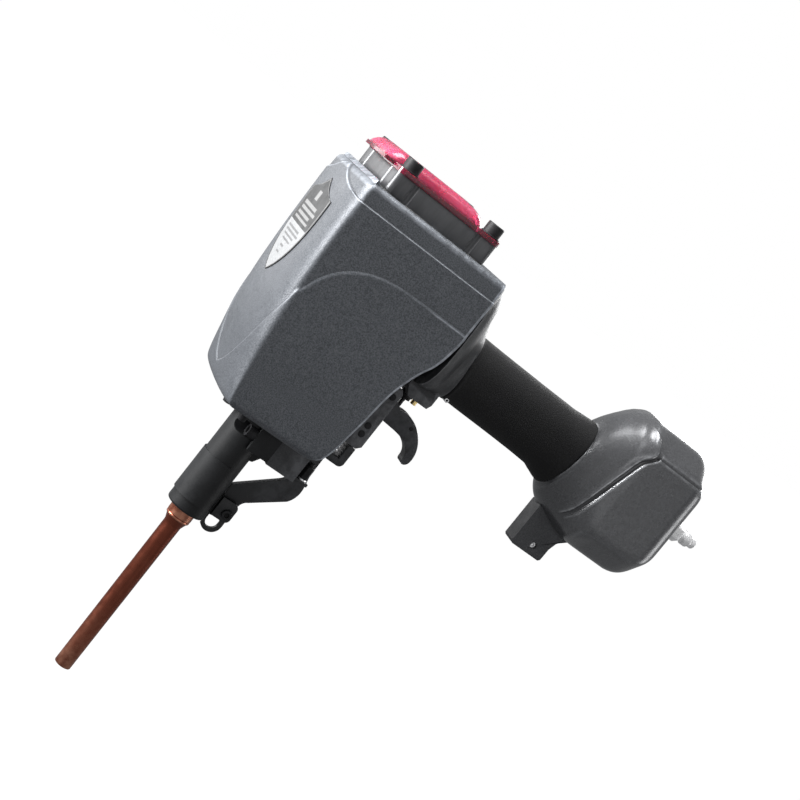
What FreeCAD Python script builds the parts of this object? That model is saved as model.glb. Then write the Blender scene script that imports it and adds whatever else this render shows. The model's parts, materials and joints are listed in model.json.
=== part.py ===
"""Pneumatic nail puller (denailer), modelled in millimetres.

Frame: the origin is the centre of the nose tube's mouth, +Z runs up the driver
axis to the exhaust cap, and the pistol handle points along +X.
"""
import FreeCAD
import Part
import math
import os

os.makedirs("parts", exist_ok=True)

# ---------------------------------------------------------------- driving dimensions
# Cylinder and piston, on the Z axis
BORE_R = 30.0
LINER_WALL = 4.0
LINER_BOTTOM = 244.0
LINER_TOP = 386.0
STROKE = 110.0
PISTON_TOP = 376.0
PISTON_H = 18.0
PISTON_GAP = 0.35
ROD_R = 3.2
ROD_TIP_Z = 84.0
GUIDE_GAP = 0.08

# Nose
TUBE_R = 6.7
TUBE_TIP_R = 6.4
TUBE_COLLAR_R = 9.5
TUBE_NECK_Z = 129.0
TUBE_RING_Z = 134.4
TUBE_TOP_Z = 176.0
NAIL_BORE_R = 4.5
NAIL_BORE_LEN = 80.0
SLEEVE_R = 15.0
SLEEVE_BOTTOM = 142.7
SLEEVE_TOP = 225.5
SAFETY_TRAVEL = 8.0
EAR_HALF_Y = 18.0
EAR_BOTTOM = 205.0
NOSE_SCREW_Y = (-13.0, 13.0)
NOSE_SCREW_Z = 216.0
NOSE_HEAD_R = 4.9
FOOT_X0 = 20.6
FOOT_X1 = 44.2
FOOT_BOTTOM = 204.0
ARM_SLOT_HALF = 3.6

# Body casing
BODY_BOTTOM = 229.5
BODY_TOP = 402.0
SEAM_Z = 387.5
CASING_WALL = 3.0
FLOOR_TOP = 232.5
FLOOR_X0 = -17.0
PLATE_X0 = -33.0
PLATE_HALF_Y = 31.0
CASING_SCREWS = ((-23.5, 0), (-15, -24), (-15, 24))
STEP = 1.0
HOUSING_WALL = 6.0

# Head and exhaust cap
HEAD_X = 1.2
HEAD_HALF_X = 43.0
HEAD_HALF_Y = 48.0
HEAD_CORNER_R = 4.5
FLUTE_R = 3.4
GASKET_T = 0.6
HEAD_TOP = 417.2
CAP_FLANGE_TOP = 420.8
LIP_X = -50.5
LIP_BOTTOM = 418.2
DOME_HALF_Y = 31.0
BOLT_X = 2.0
BOLT_HALF_X = 35.4
BOLT_HALF_Y = 38.8
BOLT_R = 3.95
BOLT_HEAD_R = 6.3
BOLT_HEAD_TOP = 429.2

# Handle
GRIP_Z = 335.4
GRIP_HALF_H = 26.4
GRIP_HALF_W = 21.5
GRIP_X0 = 93.0
GRIP_X1 = 201.9
GRIP_WALL = 4.0
CORE_X1 = 214.0
AIRWAY_R = 12.0
GRIP_PIN = (99.0, 312.4)
GRIP_PIN_R = 1.7

# Reservoir
TANK_X0 = 202.2
TANK_X1 = 299.7
TANK_HALF_W = 37.0
TANK_TOP = 392.3
TANK_BOTTOM = 280.6
TANK_WALL = 5.0
LUG_X0 = 208.8
LUG_X1 = 237.0
LUG_HALF_W = 8.5
LUG_BOTTOM = 256.5
LUG_HOLE = (225.4, 263.8)
LUG_HOLE_R = 2.6
PLUG_Z = 334.0
PLUG_END_X = 333.7
PLUG_R = 5.9
SEAL_DEPTH = 1.9
SEAL_CORD_R = 0.9
SEAL_OUTER_R = 10.0

# Trigger group
PIVOT = (66.6, 291.6)
PIVOT_R = 2.5
LEVER_PIN = (93.7, 280.6)
TRIGGER_HALF_W = 5.5
STEM_X = 77.0
STEM_R = 1.7
BRACKET_X0 = 60.0
BRACKET_X1 = 71.8
BRACKET_Z0 = 247.0
BRACKET_Z1 = 300.0
BRACKET_HALF_W = 9.0
CHEEK_T = 1.8
BRACKET_PINS = ((65.4, 265.3), (65.4, 258.0))


# ---------------------------------------------------------------- small helpers
def vec(x, y, z):
    return FreeCAD.Vector(x, y, z)


def box(x0, x1, y0, y1, z0, z1):
    return Part.makeBox(x1 - x0, y1 - y0, z1 - z0, vec(x0, y0, z0))


def rod_z(x, y, z0, z1, r):
    return Part.makeCylinder(r, z1 - z0, vec(x, y, z0), vec(0, 0, 1))


def rod_y(x, z, y0, y1, r):
    return Part.makeCylinder(r, y1 - y0, vec(x, y0, z), vec(0, 1, 0))


def rod_x(y, z, x0, x1, r):
    return Part.makeCylinder(r, x1 - x0, vec(x0, y, z), vec(1, 0, 0))


def cone_z(x, y, z0, z1, r0, r1):
    return Part.makeCone(r0, r1, z1 - z0, vec(x, y, z0), vec(0, 0, 1))


def ring_z(x, y, z0, z1, r_out, r_in):
    return rod_z(x, y, z0, z1, r_out).cut(rod_z(x, y, z0 - 1, z1 + 1, r_in))


def o_ring_z(z, r_mid, r_cord, x=0.0, y=0.0):
    return Part.makeTorus(r_mid, r_cord, vec(x, y, z), vec(0, 0, 1))


def o_ring_x(x, z, r_mid, r_cord):
    return Part.makeTorus(r_mid, r_cord, vec(x, 0, z), vec(1, 0, 0))


def revolve_z(profile, x=0.0, y=0.0):
    """Solid of revolution about a vertical line, from (radius, z) points."""
    points = [vec(x + r, y, z) for r, z in profile]
    face = Part.Face(Part.makePolygon(points + [points[0]]))
    return face.revolve(vec(x, y, 0), vec(0, 0, 1), 360)


def revolve_x(profile, z):
    """Solid of revolution about a line along X at height z, from (x, radius) points."""
    points = [vec(x, 0, z + r) for x, r in profile]
    face = Part.Face(Part.makePolygon(points + [points[0]]))
    return face.revolve(vec(0, 0, z), vec(1, 0, 0), 360)


def plate_y(points, y0, y1):
    """Flat plate with an X-Z outline, between two Y planes."""
    corners = [vec(x, y0, z) for x, z in points]
    face = Part.Face(Part.makePolygon(corners + [corners[0]]))
    return face.extrude(vec(0, y1 - y0, 0))


def curved_plate_y(runs, y0, y1):
    """Plate whose X-Z outline is a chain of runs: two points make a line, more make a spline."""
    edges = []
    for run in runs:
        points = [vec(x, y0, z) for x, z in run]
        if len(points) == 2:
            edges.append(Part.LineSegment(points[0], points[1]).toShape())
        else:
            curve = Part.BSplineCurve()
            curve.interpolate(points)
            edges.append(curve.toShape())
    face = Part.Face(Part.Wire(edges))
    return face.extrude(vec(0, y1 - y0, 0))


def hex_prism(centre, axis, across, length):
    """Hexagonal prism from a centre point along an axis."""
    r = across / math.sqrt(3)
    points = [vec(r * math.cos(math.radians(60 * k)), r * math.sin(math.radians(60 * k)), 0)
              for k in range(7)]
    solid = Part.Face(Part.makePolygon(points)).extrude(vec(0, 0, length))
    turn = FreeCAD.Rotation(vec(0, 0, 1), axis)
    solid.Placement = FreeCAD.Placement(centre, turn)
    return solid


def coil_z(x, y, z0, z1, r_mid, r_wire, turns):
    """Compression spring as a helical wire."""
    pitch = (z1 - z0 - 2 * r_wire) / turns
    helix = Part.makeHelix(pitch, z1 - z0 - 2 * r_wire, r_mid)
    helix.translate(vec(x, y, z0 + r_wire))
    start = vec(x + r_mid, y, z0 + r_wire)
    profile = Part.Wire(Part.makeCircle(r_wire, start, vec(0, 1, 0)))
    return Part.Wire(helix.Edges).makePipeShell([profile], True, True)


def slope_at(table, k):
    """Slope at a table entry that keeps the curve free of overshoot."""
    if k in (0, len(table) - 1):
        return 0.0 if k else (table[1][1] - table[0][1]) / (table[1][0] - table[0][0])
    left = (table[k][1] - table[k - 1][1]) / (table[k][0] - table[k - 1][0])
    right = (table[k + 1][1] - table[k][1]) / (table[k + 1][0] - table[k][0])
    if left * right <= 0:
        return 0.0
    return 2 * left * right / (left + right)


def between(table, z):
    """Value at z on a smooth curve through (z, value) pairs sorted upwards."""
    if z <= table[0][0]:
        return table[0][1]
    if z >= table[-1][0]:
        return table[-1][1]
    k = max(i for i, row in enumerate(table) if row[0] <= z)
    k = min(k, len(table) - 2)
    (z0, v0), (z1, v1) = table[k], table[k + 1]
    h = z1 - z0
    t = (z - z0) / h
    rise = v0 * (1 + 2 * t) * (1 - t) ** 2 + v1 * t * t * (3 - 2 * t)
    return rise + h * (slope_at(table, k) * t * (1 - t) ** 2 - slope_at(table, k + 1) * t * t * (1 - t))


def even_steps(low, high, step):
    count = max(2, int(round((high - low) / step)))
    return [low + (high - low) * k / count for k in range(count + 1)]


def save(name, shape):
    if shape.ShapeType == "Compound" and len(shape.Solids) == 1:
        shape = shape.Solids[0]
    print("%-24s solids %d  volume %9.0f  valid %s"
          % (name, len(shape.Solids), shape.Volume, shape.isValid()))
    shape.exportStep("parts/%s.step" % name)


def group(solids):
    return Part.makeCompound(solids)


# ---------------------------------------------------------------- body casing outlines
# (height, value) along the driver axis
FRONT_MID = ((229.5, -39), (230.5, -42), (232.5, -44.2), (238, -46.5), (256, -51.5), (280, -56.8),
             (312, -60.2), (350, -61.2), (387.5, -61.5), (402, -61.0))
FRONT_CORNER = ((229.5, -33.5), (230.5, -35.8), (232.5, -37.8), (238, -39.3), (256, -41.8),
                (280, -44.5), (312, -47), (350, -49.2), (387.5, -49.6), (402, -49.3))
HALF_WIDTH = ((229.5, 52), (230.3, 54.2), (231.6, 55.4), (234, 56), (256, 56.5), (280, 56.9),
              (312, 57), (350, 57), (387.5, 57), (402, 56.5))
SQUARENESS = ((229.5, 2.1), (256, 2.15), (312, 2.3), (402, 2.5))
REAR_EDGE = ((229.5, 24), (230.6, 29), (232.8, 33.5), (236, 36.6), (241, 38.5), (248, 40.1),
             (261, 41.8), (274, 43.5), (288, 44.8), (298, 46.2), (309, 49), (321, 53.5),
             (330.5, 58.4), (340.4, 61.1), (357, 63.1), (402, 63.5))
REAR_MID = ((229.5, 44), (233, 50), (241, 54), (275, 57), (300, 62), (316, 70), (335, 80),
            (358, 88), (387.5, 87), (402, 85))
FRONT_VEE = ((0, 241), (10, 245), (20, 251), (29, 258.5), (40, 272), (47, 286), (51.5, 300),
             (55.5, 318), (57.5, 331))
SECTION_STEP = 6.0
FRONT_SAMPLES = 9


def front_curve(z, inset):
    """Convex front of the body in plan, as points from the near corner to the far one."""
    mid = between(FRONT_MID, z) + inset
    corner = between(FRONT_CORNER, z)
    half = between(HALF_WIDTH, z) - inset
    power = between(SQUARENESS, z)
    points = []
    for k in range(-FRONT_SAMPLES, FRONT_SAMPLES + 1):
        angle = math.radians(90.0 * k / FRONT_SAMPLES)
        side = math.copysign(abs(math.sin(angle)) ** (2 / power), angle)
        depth = abs(math.cos(angle)) ** (2 / power)
        points.append(vec(corner + (mid - corner) * depth, half * side, z))
    return points


def body_section(z, inset, rear_x, rear_bulge):
    """Closed plan outline of the body at height z."""
    points = front_curve(z, inset)
    front = Part.BSplineCurve()
    front.interpolate(points)
    near, far = points[0], points[-1]
    near_rear = vec(rear_x, near.y, z)
    far_rear = vec(rear_x, far.y, z)
    if rear_bulge > 0.5:
        rear = Part.Arc(far_rear, vec(rear_x + rear_bulge, 0, z), near_rear).toShape()
    else:
        rear = Part.LineSegment(far_rear, near_rear).toShape()
    edges = [front.toShape(), Part.LineSegment(far, far_rear).toShape(), rear,
             Part.LineSegment(near_rear, near).toShape()]
    return Part.Wire(edges)


def body_solid(inset, z0, z1, bulged):
    """Solid body between two heights, inset from the outer skin."""
    sections = []
    for z in even_steps(z0, z1, SECTION_STEP):
        rear_x = between(REAR_EDGE, z) - 4.0 if bulged else 70.0
        bulge = between(REAR_MID, z) - rear_x - inset if bulged else 0.0
        sections.append(body_section(z, inset, rear_x, bulge))
    return Part.makeLoft(sections, True, False)


def side_profile(z0, z1, grow):
    """Prism that trims the casing to its rear edge, seen from the side."""
    edge = [(x + grow, z) for z, x in REAR_EDGE if z0 < z < z1]
    low = (between(REAR_EDGE, z0) + grow, z0)
    high = (between(REAR_EDGE, z1) + grow, z1)
    return plate_y([(-80, z0), low] + edge + [high, (-80, z1)], -80, 80)


def panel_zone():
    """Zone of the raised lower panel: under a swept arc on each side, and outside a vee in front."""
    runs = [((-49.5, 325.0), (-45.2, 330.6), (-31.7, 344.7), (-11.4, 355.4), (9.2, 358.6),
             (30, 359.0)),
            ((30, 359.0), (90, 359.0)),
            ((90, 359.0), (90, 210)),
            ((90, 210), (-90, 210)),
            ((-90, 210), (-90, 325.0)),
            ((-90, 325.0), (-49.5, 325.0))]
    zone = curved_plate_y(runs, -90, 90)
    near = [vec(-90, -y, z) for y, z in FRONT_VEE]
    far = [vec(-90, y, z) for y, z in FRONT_VEE]
    sides = []
    for points in (near, far):
        curve = Part.BSplineCurve()
        curve.interpolate(points)
        sides.append(curve.toShape())
    lid = [near[-1], vec(-90, -70, 331), vec(-90, -70, 420), vec(-90, 70, 420), vec(-90, 70, 331),
           far[-1]]
    edges = [Part.LineSegment(p, q).toShape() for p, q in zip(lid, lid[1:])]
    vee = Part.Face(Part.Wire([sides[0]] + edges + [sides[1]])).extrude(vec(42, 0, 0))
    return zone.cut(vee)


# ---------------------------------------------------------------- castings
def make_casing():
    """Outer casing: a U-shaped shell round the front and sides, with a stepped top band."""
    upper = body_solid(2 * STEP, BODY_BOTTOM, BODY_TOP, False)
    lower = body_solid(STEP, BODY_BOTTOM, SEAM_Z, False)
    panel = body_solid(0.0, BODY_BOTTOM, SEAM_Z, False).common(panel_zone())
    outer = upper.fuse(lower).fuse(panel)
    outer = outer.common(side_profile(BODY_BOTTOM, BODY_TOP, 0.0))
    cavity = body_solid(2 * STEP + CASING_WALL, FLOOR_TOP, BODY_TOP - 4.0, False)
    window = box(FLOOR_X0 - 0.3, 80, -EAR_HALF_Y - 0.3, EAR_HALF_Y + 0.3, 200, FLOOR_TOP + 1)
    holes = [rod_z(x, y, 210, 236, 2.1) for x, y in CASING_SCREWS]
    holes += [rod_z(x, y, 380, 410, BOLT_R + 0.1) for x, y in bolt_centres()]
    return outer.cut([cavity, window, rod_z(0, 0, 390, 410, 36.2)] + holes)


def make_housing():
    """Inner casting: air chamber, neck, handle core, valve boss and foot."""
    inset = 2 * STEP + CASING_WALL + 0.3
    block = body_solid(inset, FLOOR_TOP + 0.3, BODY_TOP - 4.3, True)
    neck = handle_neck().cut(grip_envelope())
    boss = valve_boss()
    pad = box(40, BRACKET_X0, -BRACKET_HALF_W, BRACKET_HALF_W, BRACKET_Z0, BRACKET_Z1)
    foot = box(FOOT_X0, FOOT_X1, -EAR_HALF_Y, EAR_HALF_Y, FOOT_BOTTOM, 236)
    floor = box(FLOOR_X0, FOOT_X1, -EAR_HALF_Y, EAR_HALF_Y, BODY_BOTTOM, 236)
    spigot = rod_z(0, 0, 390, BODY_TOP, 36.0)
    solid = block.fuse([neck, handle_core(), boss, pad, foot, floor, spigot] + bolt_posts())
    chamber = body_solid(inset + HOUSING_WALL, 241.0, 384.0, True)
    liner_r = BORE_R + LINER_WALL
    holder = ring_z(0, 0, 238, 256, liner_r + 4, liner_r + 0.02)
    solid = solid.cut(chamber).fuse(holder)
    cuts = [rod_z(0, 0, 240.0, 262, liner_r + 0.02),
            rod_z(0, 0, 380, 410, liner_r + 0.4),
            rod_z(0, 0, 210, 245, 8.02),
            rod_x(0, GRIP_Z, 60, 220, AIRWAY_R),
            rod_z(STEM_X, 0, 290, 325, 5.02),
            box(36, 60, -ARM_SLOT_HALF, ARM_SLOT_HALF, 190, 232),
            box(46.8, 60, -ARM_SLOT_HALF, ARM_SLOT_HALF, 228, 240.5),
            rod_y(GRIP_PIN[0], GRIP_PIN[1], -20, 20, GRIP_PIN_R + 0.02)]
    cuts += [rod_x(y, NOSE_SCREW_Z, 10, 34, 3.02) for y in NOSE_SCREW_Y]
    cuts += [rod_z(x, y, 220, 240.5, 2.05) for x, y in CASING_SCREWS]
    cuts += [rod_z(x, y, 360, BODY_TOP, 3.97) for x, y in bolt_centres()]
    return solid.cut(cuts)


def bolt_posts():
    return [rod_z(x, y, 360, BODY_TOP - 4.3, 8.0) for x, y in bolt_centres()]


def oval_section(x, z_mid, half_w, half_h, power, lean=0.0):
    """Upright superellipse outline in a plane across X; lean shifts the top along X."""
    points = []
    count = 32
    for k in range(count):
        angle = 2 * math.pi * k / count
        c, s = math.cos(angle), math.sin(angle)
        y = half_w * math.copysign(abs(c) ** (2 / power), c)
        dz = half_h * math.copysign(abs(s) ** (2 / power), s)
        points.append(vec(x + lean * dz / half_h, y, z_mid + dz))
    curve = Part.BSplineCurve()
    curve.interpolate(points, True)
    return Part.Wire(curve.toShape())


def oval_loft(stations, step=6.0):
    """Smooth solid along X through a few stations, each a tuple of oval_section's values."""
    columns = len(stations[0])
    tables = [[(s[0], s[c]) for s in stations] for c in range(1, columns)]
    sections = []
    for x in even_steps(stations[0][0], stations[-1][0], step):
        sections.append(oval_section(x, *[between(t, x) for t in tables]))
    return Part.makeLoft(sections, True, False)


def straight_oval(x0, x1, half_w, half_h):
    """Straight bar along X with the handle's oval section."""
    face = Part.Face(oval_section(x0, GRIP_Z, half_w, half_h, 2.2))
    return face.extrude(vec(x1 - x0, 0, 0))


def handle_neck():
    """Neck that shrinks from the rear wall to the handle."""
    return oval_loft([(70, 353.5, 42, 44, 3.2), (78, 353.3, 36, 44.4, 3.0), (81, 351.8, 31, 43.2, 2.8),
                      (84.2, 346.5, 27, 37.9, 2.6), (87, 343, 24.5, 34.5, 2.5),
                      (90.5, 339.5, 22.3, 31, 2.4), (94.5, 336, 21, 26, 2.3)], 3.0)


def handle_core():
    """Oval core under the grip."""
    return straight_oval(60, CORE_X1, GRIP_HALF_W - GRIP_WALL, GRIP_HALF_H - GRIP_WALL)


def grip_envelope():
    """Outer shape of the rubber grip, flared at the tank end."""
    return oval_loft([(GRIP_X0, GRIP_Z + 1.9, 22.0, 26.9, 2.3, -2.0),
                      (GRIP_X0 + 5, GRIP_Z + 1.3, 21.3, 26.1, 2.3, -1.5),
                      (150, GRIP_Z + 0.1, 21.3, 25.9, 2.3, 0),
                      (182, GRIP_Z - 0.8, 21.5, 26.3, 2.2, 2.5),
                      (GRIP_X1 - 0.1, GRIP_Z - 2.8, 22.4, 29.6, 2.05, 5.0)])


def valve_boss():
    """Faceted block under the neck that holds the trigger valve."""
    outline = [(69, 322), (69, 306), (73.5, 299), (90.5, 299), (92.3, 303), (92.3, 318), (89, 326)]
    return plate_y(outline, -12, 12)


def make_reservoir():
    """Air reservoir casting at the end of the handle, with a hanging lug."""
    mid = (TANK_TOP + TANK_BOTTOM) / 2
    half_h = (TANK_TOP - TANK_BOTTOM) / 2
    w = TANK_HALF_W
    outer = oval_loft([(TANK_X0, 332.6, 22.6, 29.6, 2.05, 5.0), (205, 333.2, 25, 36.5, 2.1, 5.6),
                       (210, 334.3, 27.6, 43.6, 2.25, 5.6), (217, 335.3, 30.5, 49.6, 2.5, 5),
                       (226, mid, 33.8, 54.2, 3.0, 3.6), (236, mid, 36.2, half_h - 0.3, 3.8, 1.5),
                       (248, mid, w, half_h, 4.6, 0), (278, mid, w, half_h, 5.0, 0),
                       (284, mid, w - 0.3, half_h - 1.3, 4.8, 0),
                       (290, mid, w - 1.8, half_h - 4.6, 4.5, 0),
                       (295, mid, w - 5, half_h - 10, 4.2, 0),
                       (TANK_X1, mid, w - 11, half_h - 18, 3.8, 0)], 3.0)
    lug = plate_y([(LUG_X0, 292), (LUG_X0, LUG_BOTTOM), (LUG_X1, LUG_BOTTOM), (LUG_X1, 272),
                   (240, 277), (247, 281), (247, 292)], -LUG_HALF_W, LUG_HALF_W)
    inner = oval_loft([(219, mid, 17, 28, 2.4), (231, mid, 28, 44, 3.0),
                       (248, mid, w - TANK_WALL, half_h - TANK_WALL, 4.2),
                       (276, mid, w - TANK_WALL, half_h - TANK_WALL, 4.2),
                       (291, mid, 25, half_h - 17, 3.4)])
    solid = outer.fuse(lug).cut(inner)
    half_w = GRIP_HALF_W - GRIP_WALL + 0.05
    socket = straight_oval(190, CORE_X1 + 0.05, half_w, GRIP_HALF_H - GRIP_WALL + 0.05)
    cuts = [socket, rod_x(0, GRIP_Z, 200, 235, AIRWAY_R),
            rod_x(0, PLUG_Z, TANK_X1 - 15, TANK_X1 + 6, 8.02),
            rod_x(0, PLUG_Z, TANK_X1 - SEAL_DEPTH, TANK_X1 + 6, SEAL_OUTER_R),
            rod_y(LUG_HOLE[0], LUG_HOLE[1], -20, 20, LUG_HOLE_R)]
    return solid.cut(cuts)


# ---------------------------------------------------------------- head and cap
def rounded_block(half_x, half_y, radius, z0, z1):
    """Upright prism with a rounded rectangular outline centred on (HEAD_X, 0)."""
    solid = box(HEAD_X - half_x, HEAD_X + half_x, -half_y, half_y, z0, z1)
    corners = [e for e in solid.Edges if abs(e.tangentAt(e.FirstParameter).z) > 0.9]
    return solid.makeFillet(radius, corners)


def head_outline(z0, z1, inset=0.0):
    """Rounded rectangle with a boss at each bolt and flutes beside the bosses."""
    half_x = HEAD_HALF_X - inset
    half_y = HEAD_HALF_Y - inset
    solid = rounded_block(half_x, half_y, HEAD_CORNER_R, z0, z1)
    reach = FLUTE_R - 1.2
    flutes = []
    for sx in (-1, 1):
        for sy in (-1, 1):
            flutes.append(rod_z(HEAD_X + sx * 27, sy * (half_y + reach), z0 - 1, z1 + 1, FLUTE_R))
            flutes.append(rod_z(HEAD_X + sx * (half_x + reach), sy * 29, z0 - 1, z1 + 1, FLUTE_R))
    return solid.cut(flutes)


def bolt_centres():
    return [(BOLT_X + sx * BOLT_HALF_X, sy * BOLT_HALF_Y) for sx in (-1, 1) for sy in (-1, 1)]


def make_head():
    """Cylinder head: a fluted ring that holds the head valve under its top web."""
    solid = head_outline(BODY_TOP + GASKET_T, HEAD_TOP)
    cuts = [rod_z(0, 0, BODY_TOP, HEAD_TOP - 4.5, BORE_R + LINER_WALL),
            rod_z(0, 0, BODY_TOP, HEAD_TOP + 1, 10.0)]
    for x, y in bolt_centres():
        cuts.append(rod_z(x, y, BODY_TOP, HEAD_TOP + 1, 4.05))
    return solid.cut(cuts)


def make_gasket():
    solid = head_outline(BODY_TOP, BODY_TOP + GASKET_T, 0.3)
    cuts = [rod_z(0, 0, BODY_TOP - 1, HEAD_TOP, BORE_R + LINER_WALL)]
    for x, y in bolt_centres():
        cuts.append(rod_z(x, y, BODY_TOP - 1, HEAD_TOP, 4.05))
    return solid.cut(cuts)


def dome_wire(x0, x1, half_y, radius, z):
    """Rounded rectangle outline as eight edges, for lofting."""
    diagonal = radius * (1 - math.sqrt(0.5))
    edges = []
    corners = ((x1, half_y, 1, 1), (x0, half_y, -1, 1), (x0, -half_y, -1, -1), (x1, -half_y, 1, -1))
    starts, ends = [], []
    for x, y, sx, sy in corners:
        along_x = vec(x - sx * radius, y, z)
        along_y = vec(x, y - sy * radius, z)
        first, second = (along_y, along_x) if sx * sy > 0 else (along_x, along_y)
        middle = vec(x - sx * diagonal, y - sy * diagonal, z)
        starts.append(first)
        ends.append(second)
        edges.append(Part.Arc(first, middle, second).toShape())
    sides = [Part.LineSegment(ends[k], starts[(k + 1) % 4]).toShape() for k in range(4)]
    return Part.Wire([edge for pair in zip(edges, sides) for edge in pair])


def make_cap():
    """Exhaust cap: flange and hollow dome between the bolt rows, with a lip over the front."""
    flange = rounded_block(HEAD_HALF_X + 0.4, HEAD_HALF_Y + 0.4, HEAD_CORNER_R + 0.4, HEAD_TOP,
                           CAP_FLANGE_TOP)
    levels = ((LIP_X, 35.4, DOME_HALF_Y, 9, CAP_FLANGE_TOP - 0.3), (-49.4, 34.0, 30.3, 9, 423.4),
              (-47.0, 30.5, 28.8, 8.5, 426.2), (-44.2, 25.5, 26.5, 8, 428.2),
              (-39.5, 18.0, 21.0, 7, 429.3))
    dome = Part.makeLoft([dome_wire(*level) for level in levels], True, True)
    inner = [(x0 + 3.5, x1 - 3.5, half - 3.5, r - 2.5, z - 2.2) for x0, x1, half, r, z in levels]
    hollow = Part.makeLoft([dome_wire(*level) for level in inner], True, True)
    lip = box(LIP_X + 0.3, -HEAD_HALF_X + 6, -DOME_HALF_Y + 1.5, DOME_HALF_Y - 1.5, LIP_BOTTOM,
              CAP_FLANGE_TOP)
    solid = flange.fuse([dome, lip])
    cuts = [hollow, rod_z(0, 0, HEAD_TOP - 1, HEAD_TOP + 2, 28)]
    cuts.append(box(LIP_X + 3, -HEAD_HALF_X - 1, -24, 24, LIP_BOTTOM - 1, CAP_FLANGE_TOP))
    for x, y in bolt_centres():
        cuts.append(rod_z(x, y, CAP_FLANGE_TOP, BOLT_HEAD_TOP + 2, 7.6))
        cuts.append(rod_z(x, y, HEAD_TOP - 1, CAP_FLANGE_TOP + 1, 4.05))
    return solid.cut(cuts)


def socket_screw_z(x, y, z_under, z_top, r_head, r_shank, z_end):
    """Socket-head screw pointing down, with its hexagon recess."""
    head = rod_z(x, y, z_under, z_top, r_head)
    head = head.makeChamfer(0.5, [e for e in head.Edges if abs(e.BoundBox.ZMin - z_top) < 0.01])
    recess = hex_prism(vec(x, y, z_top - 4.0), vec(0, 0, 1), r_head, 6.0)
    return head.fuse(rod_z(x, y, z_end, z_under + 0.1, r_shank)).cut(recess)


def make_cap_bolts():
    return group([socket_screw_z(x, y, CAP_FLANGE_TOP + 1.0, BOLT_HEAD_TOP, BOLT_HEAD_R, BOLT_R, 380)
                  for x, y in bolt_centres()])


def make_cap_washers():
    return group([ring_z(x, y, CAP_FLANGE_TOP, CAP_FLANGE_TOP + 1.0, 7.4, 4.1)
                  for x, y in bolt_centres()])


# ---------------------------------------------------------------- cylinder internals
def make_liner():
    """Hard steel cylinder liner with a ring of return-air holes."""
    solid = ring_z(0, 0, LINER_BOTTOM, LINER_TOP, BORE_R + LINER_WALL, BORE_R)
    holes = []
    for k in range(8):
        a = math.radians(45 * k + 22.5)
        holes.append(Part.makeCylinder(1.5, 40, vec(0, 0, 270), vec(math.cos(a), math.sin(a), 0)))
    return solid.cut(holes)


def make_liner_seals():
    return group([o_ring_z(LINER_TOP + 1.4, BORE_R + 2.0, 1.4)])


def make_piston():
    bottom = PISTON_TOP - PISTON_H
    r = BORE_R - PISTON_GAP
    solid = revolve_z([(0, bottom), (r - 6, bottom), (r, bottom + 4), (r, bottom + 8),
                       (r - 3.2, bottom + 8), (r - 3.2, bottom + 12), (r, bottom + 12),
                       (r, PISTON_TOP), (0, PISTON_TOP)])
    cup = rod_z(0, 0, PISTON_TOP - 6, PISTON_TOP + 1, 20)
    return solid.cut([cup, rod_z(0, 0, bottom - 1, PISTON_TOP, ROD_R)])


def make_piston_ring():
    bottom = PISTON_TOP - PISTON_H
    r = BORE_R - PISTON_GAP
    return ring_z(0, 0, bottom + 8.1, bottom + 11.9, BORE_R - 0.06, r - 3.2)


def make_driver_rod():
    """Hardened driver rod: cupped tip below, shoulder and thread in the piston."""
    top = PISTON_TOP - 0.5
    tip = cone_z(0, 0, ROD_TIP_Z, ROD_TIP_Z + 1.2, ROD_R - 0.7, ROD_R)
    return tip.fuse(rod_z(0, 0, ROD_TIP_Z + 1.2, top, ROD_R))


def make_rod_nut():
    solid = hex_prism(vec(0, 0, PISTON_TOP - 6), vec(0, 0, 1), 13.0, 5.0)
    return solid.cut(rod_z(0, 0, PISTON_TOP - 8, PISTON_TOP + 2, ROD_R))


def make_bumper():
    """Rubber bumper that stops the piston at the bottom of its stroke."""
    top = PISTON_TOP - PISTON_H - STROKE - 0.6
    profile = [(6.0, LINER_BOTTOM - 3.9), (BORE_R - 0.6, LINER_BOTTOM - 3.9),
               (BORE_R - 0.6, top - 3), (BORE_R - 5, top), (9.0, top), (6.0, top - 2)]
    return revolve_z(profile)


def make_rod_guide():
    """Bronze bush in the housing floor that guides the driver rod."""
    return ring_z(0, 0, SLEEVE_TOP, 239.5, 8.0, ROD_R + GUIDE_GAP)


def make_head_valve():
    """Head valve: a plastic piston that closes the liner's top until the trigger is pulled."""
    r = BORE_R + LINER_WALL - 0.35
    return revolve_z([(0, 389.2), (r - 2, 389.2), (r, 391), (r, 398), (18, 398), (18, 401),
                      (9.65, 401), (9.65, 408), (0, 408)])


def make_head_valve_spring():
    return coil_z(0, 0, 398.2, HEAD_TOP - 4.6, 22.0, 1.1, 3)


# ---------------------------------------------------------------- nose
def make_nose_tube():
    """Coloured steel nose tube: the nail end enters its mouth; a collar slides in the sleeve."""
    outer = revolve_z([(0, 0), (TUBE_TIP_R - 0.4, 0), (TUBE_TIP_R, 0.4), (TUBE_R, TUBE_NECK_Z),
                       (TUBE_COLLAR_R - 0.9, TUBE_RING_Z - 0.4), (TUBE_COLLAR_R - 0.1, TUBE_RING_Z),
                       (TUBE_COLLAR_R, TUBE_RING_Z + 0.8), (TUBE_COLLAR_R, TUBE_TOP_Z),
                       (0, TUBE_TOP_Z)])
    return outer.cut([rod_z(0, 0, -1, NAIL_BORE_LEN, NAIL_BORE_R),
                      rod_z(0, 0, NAIL_BORE_LEN - 1, TUBE_TOP_Z + 1, ROD_R + 0.35)])


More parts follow.
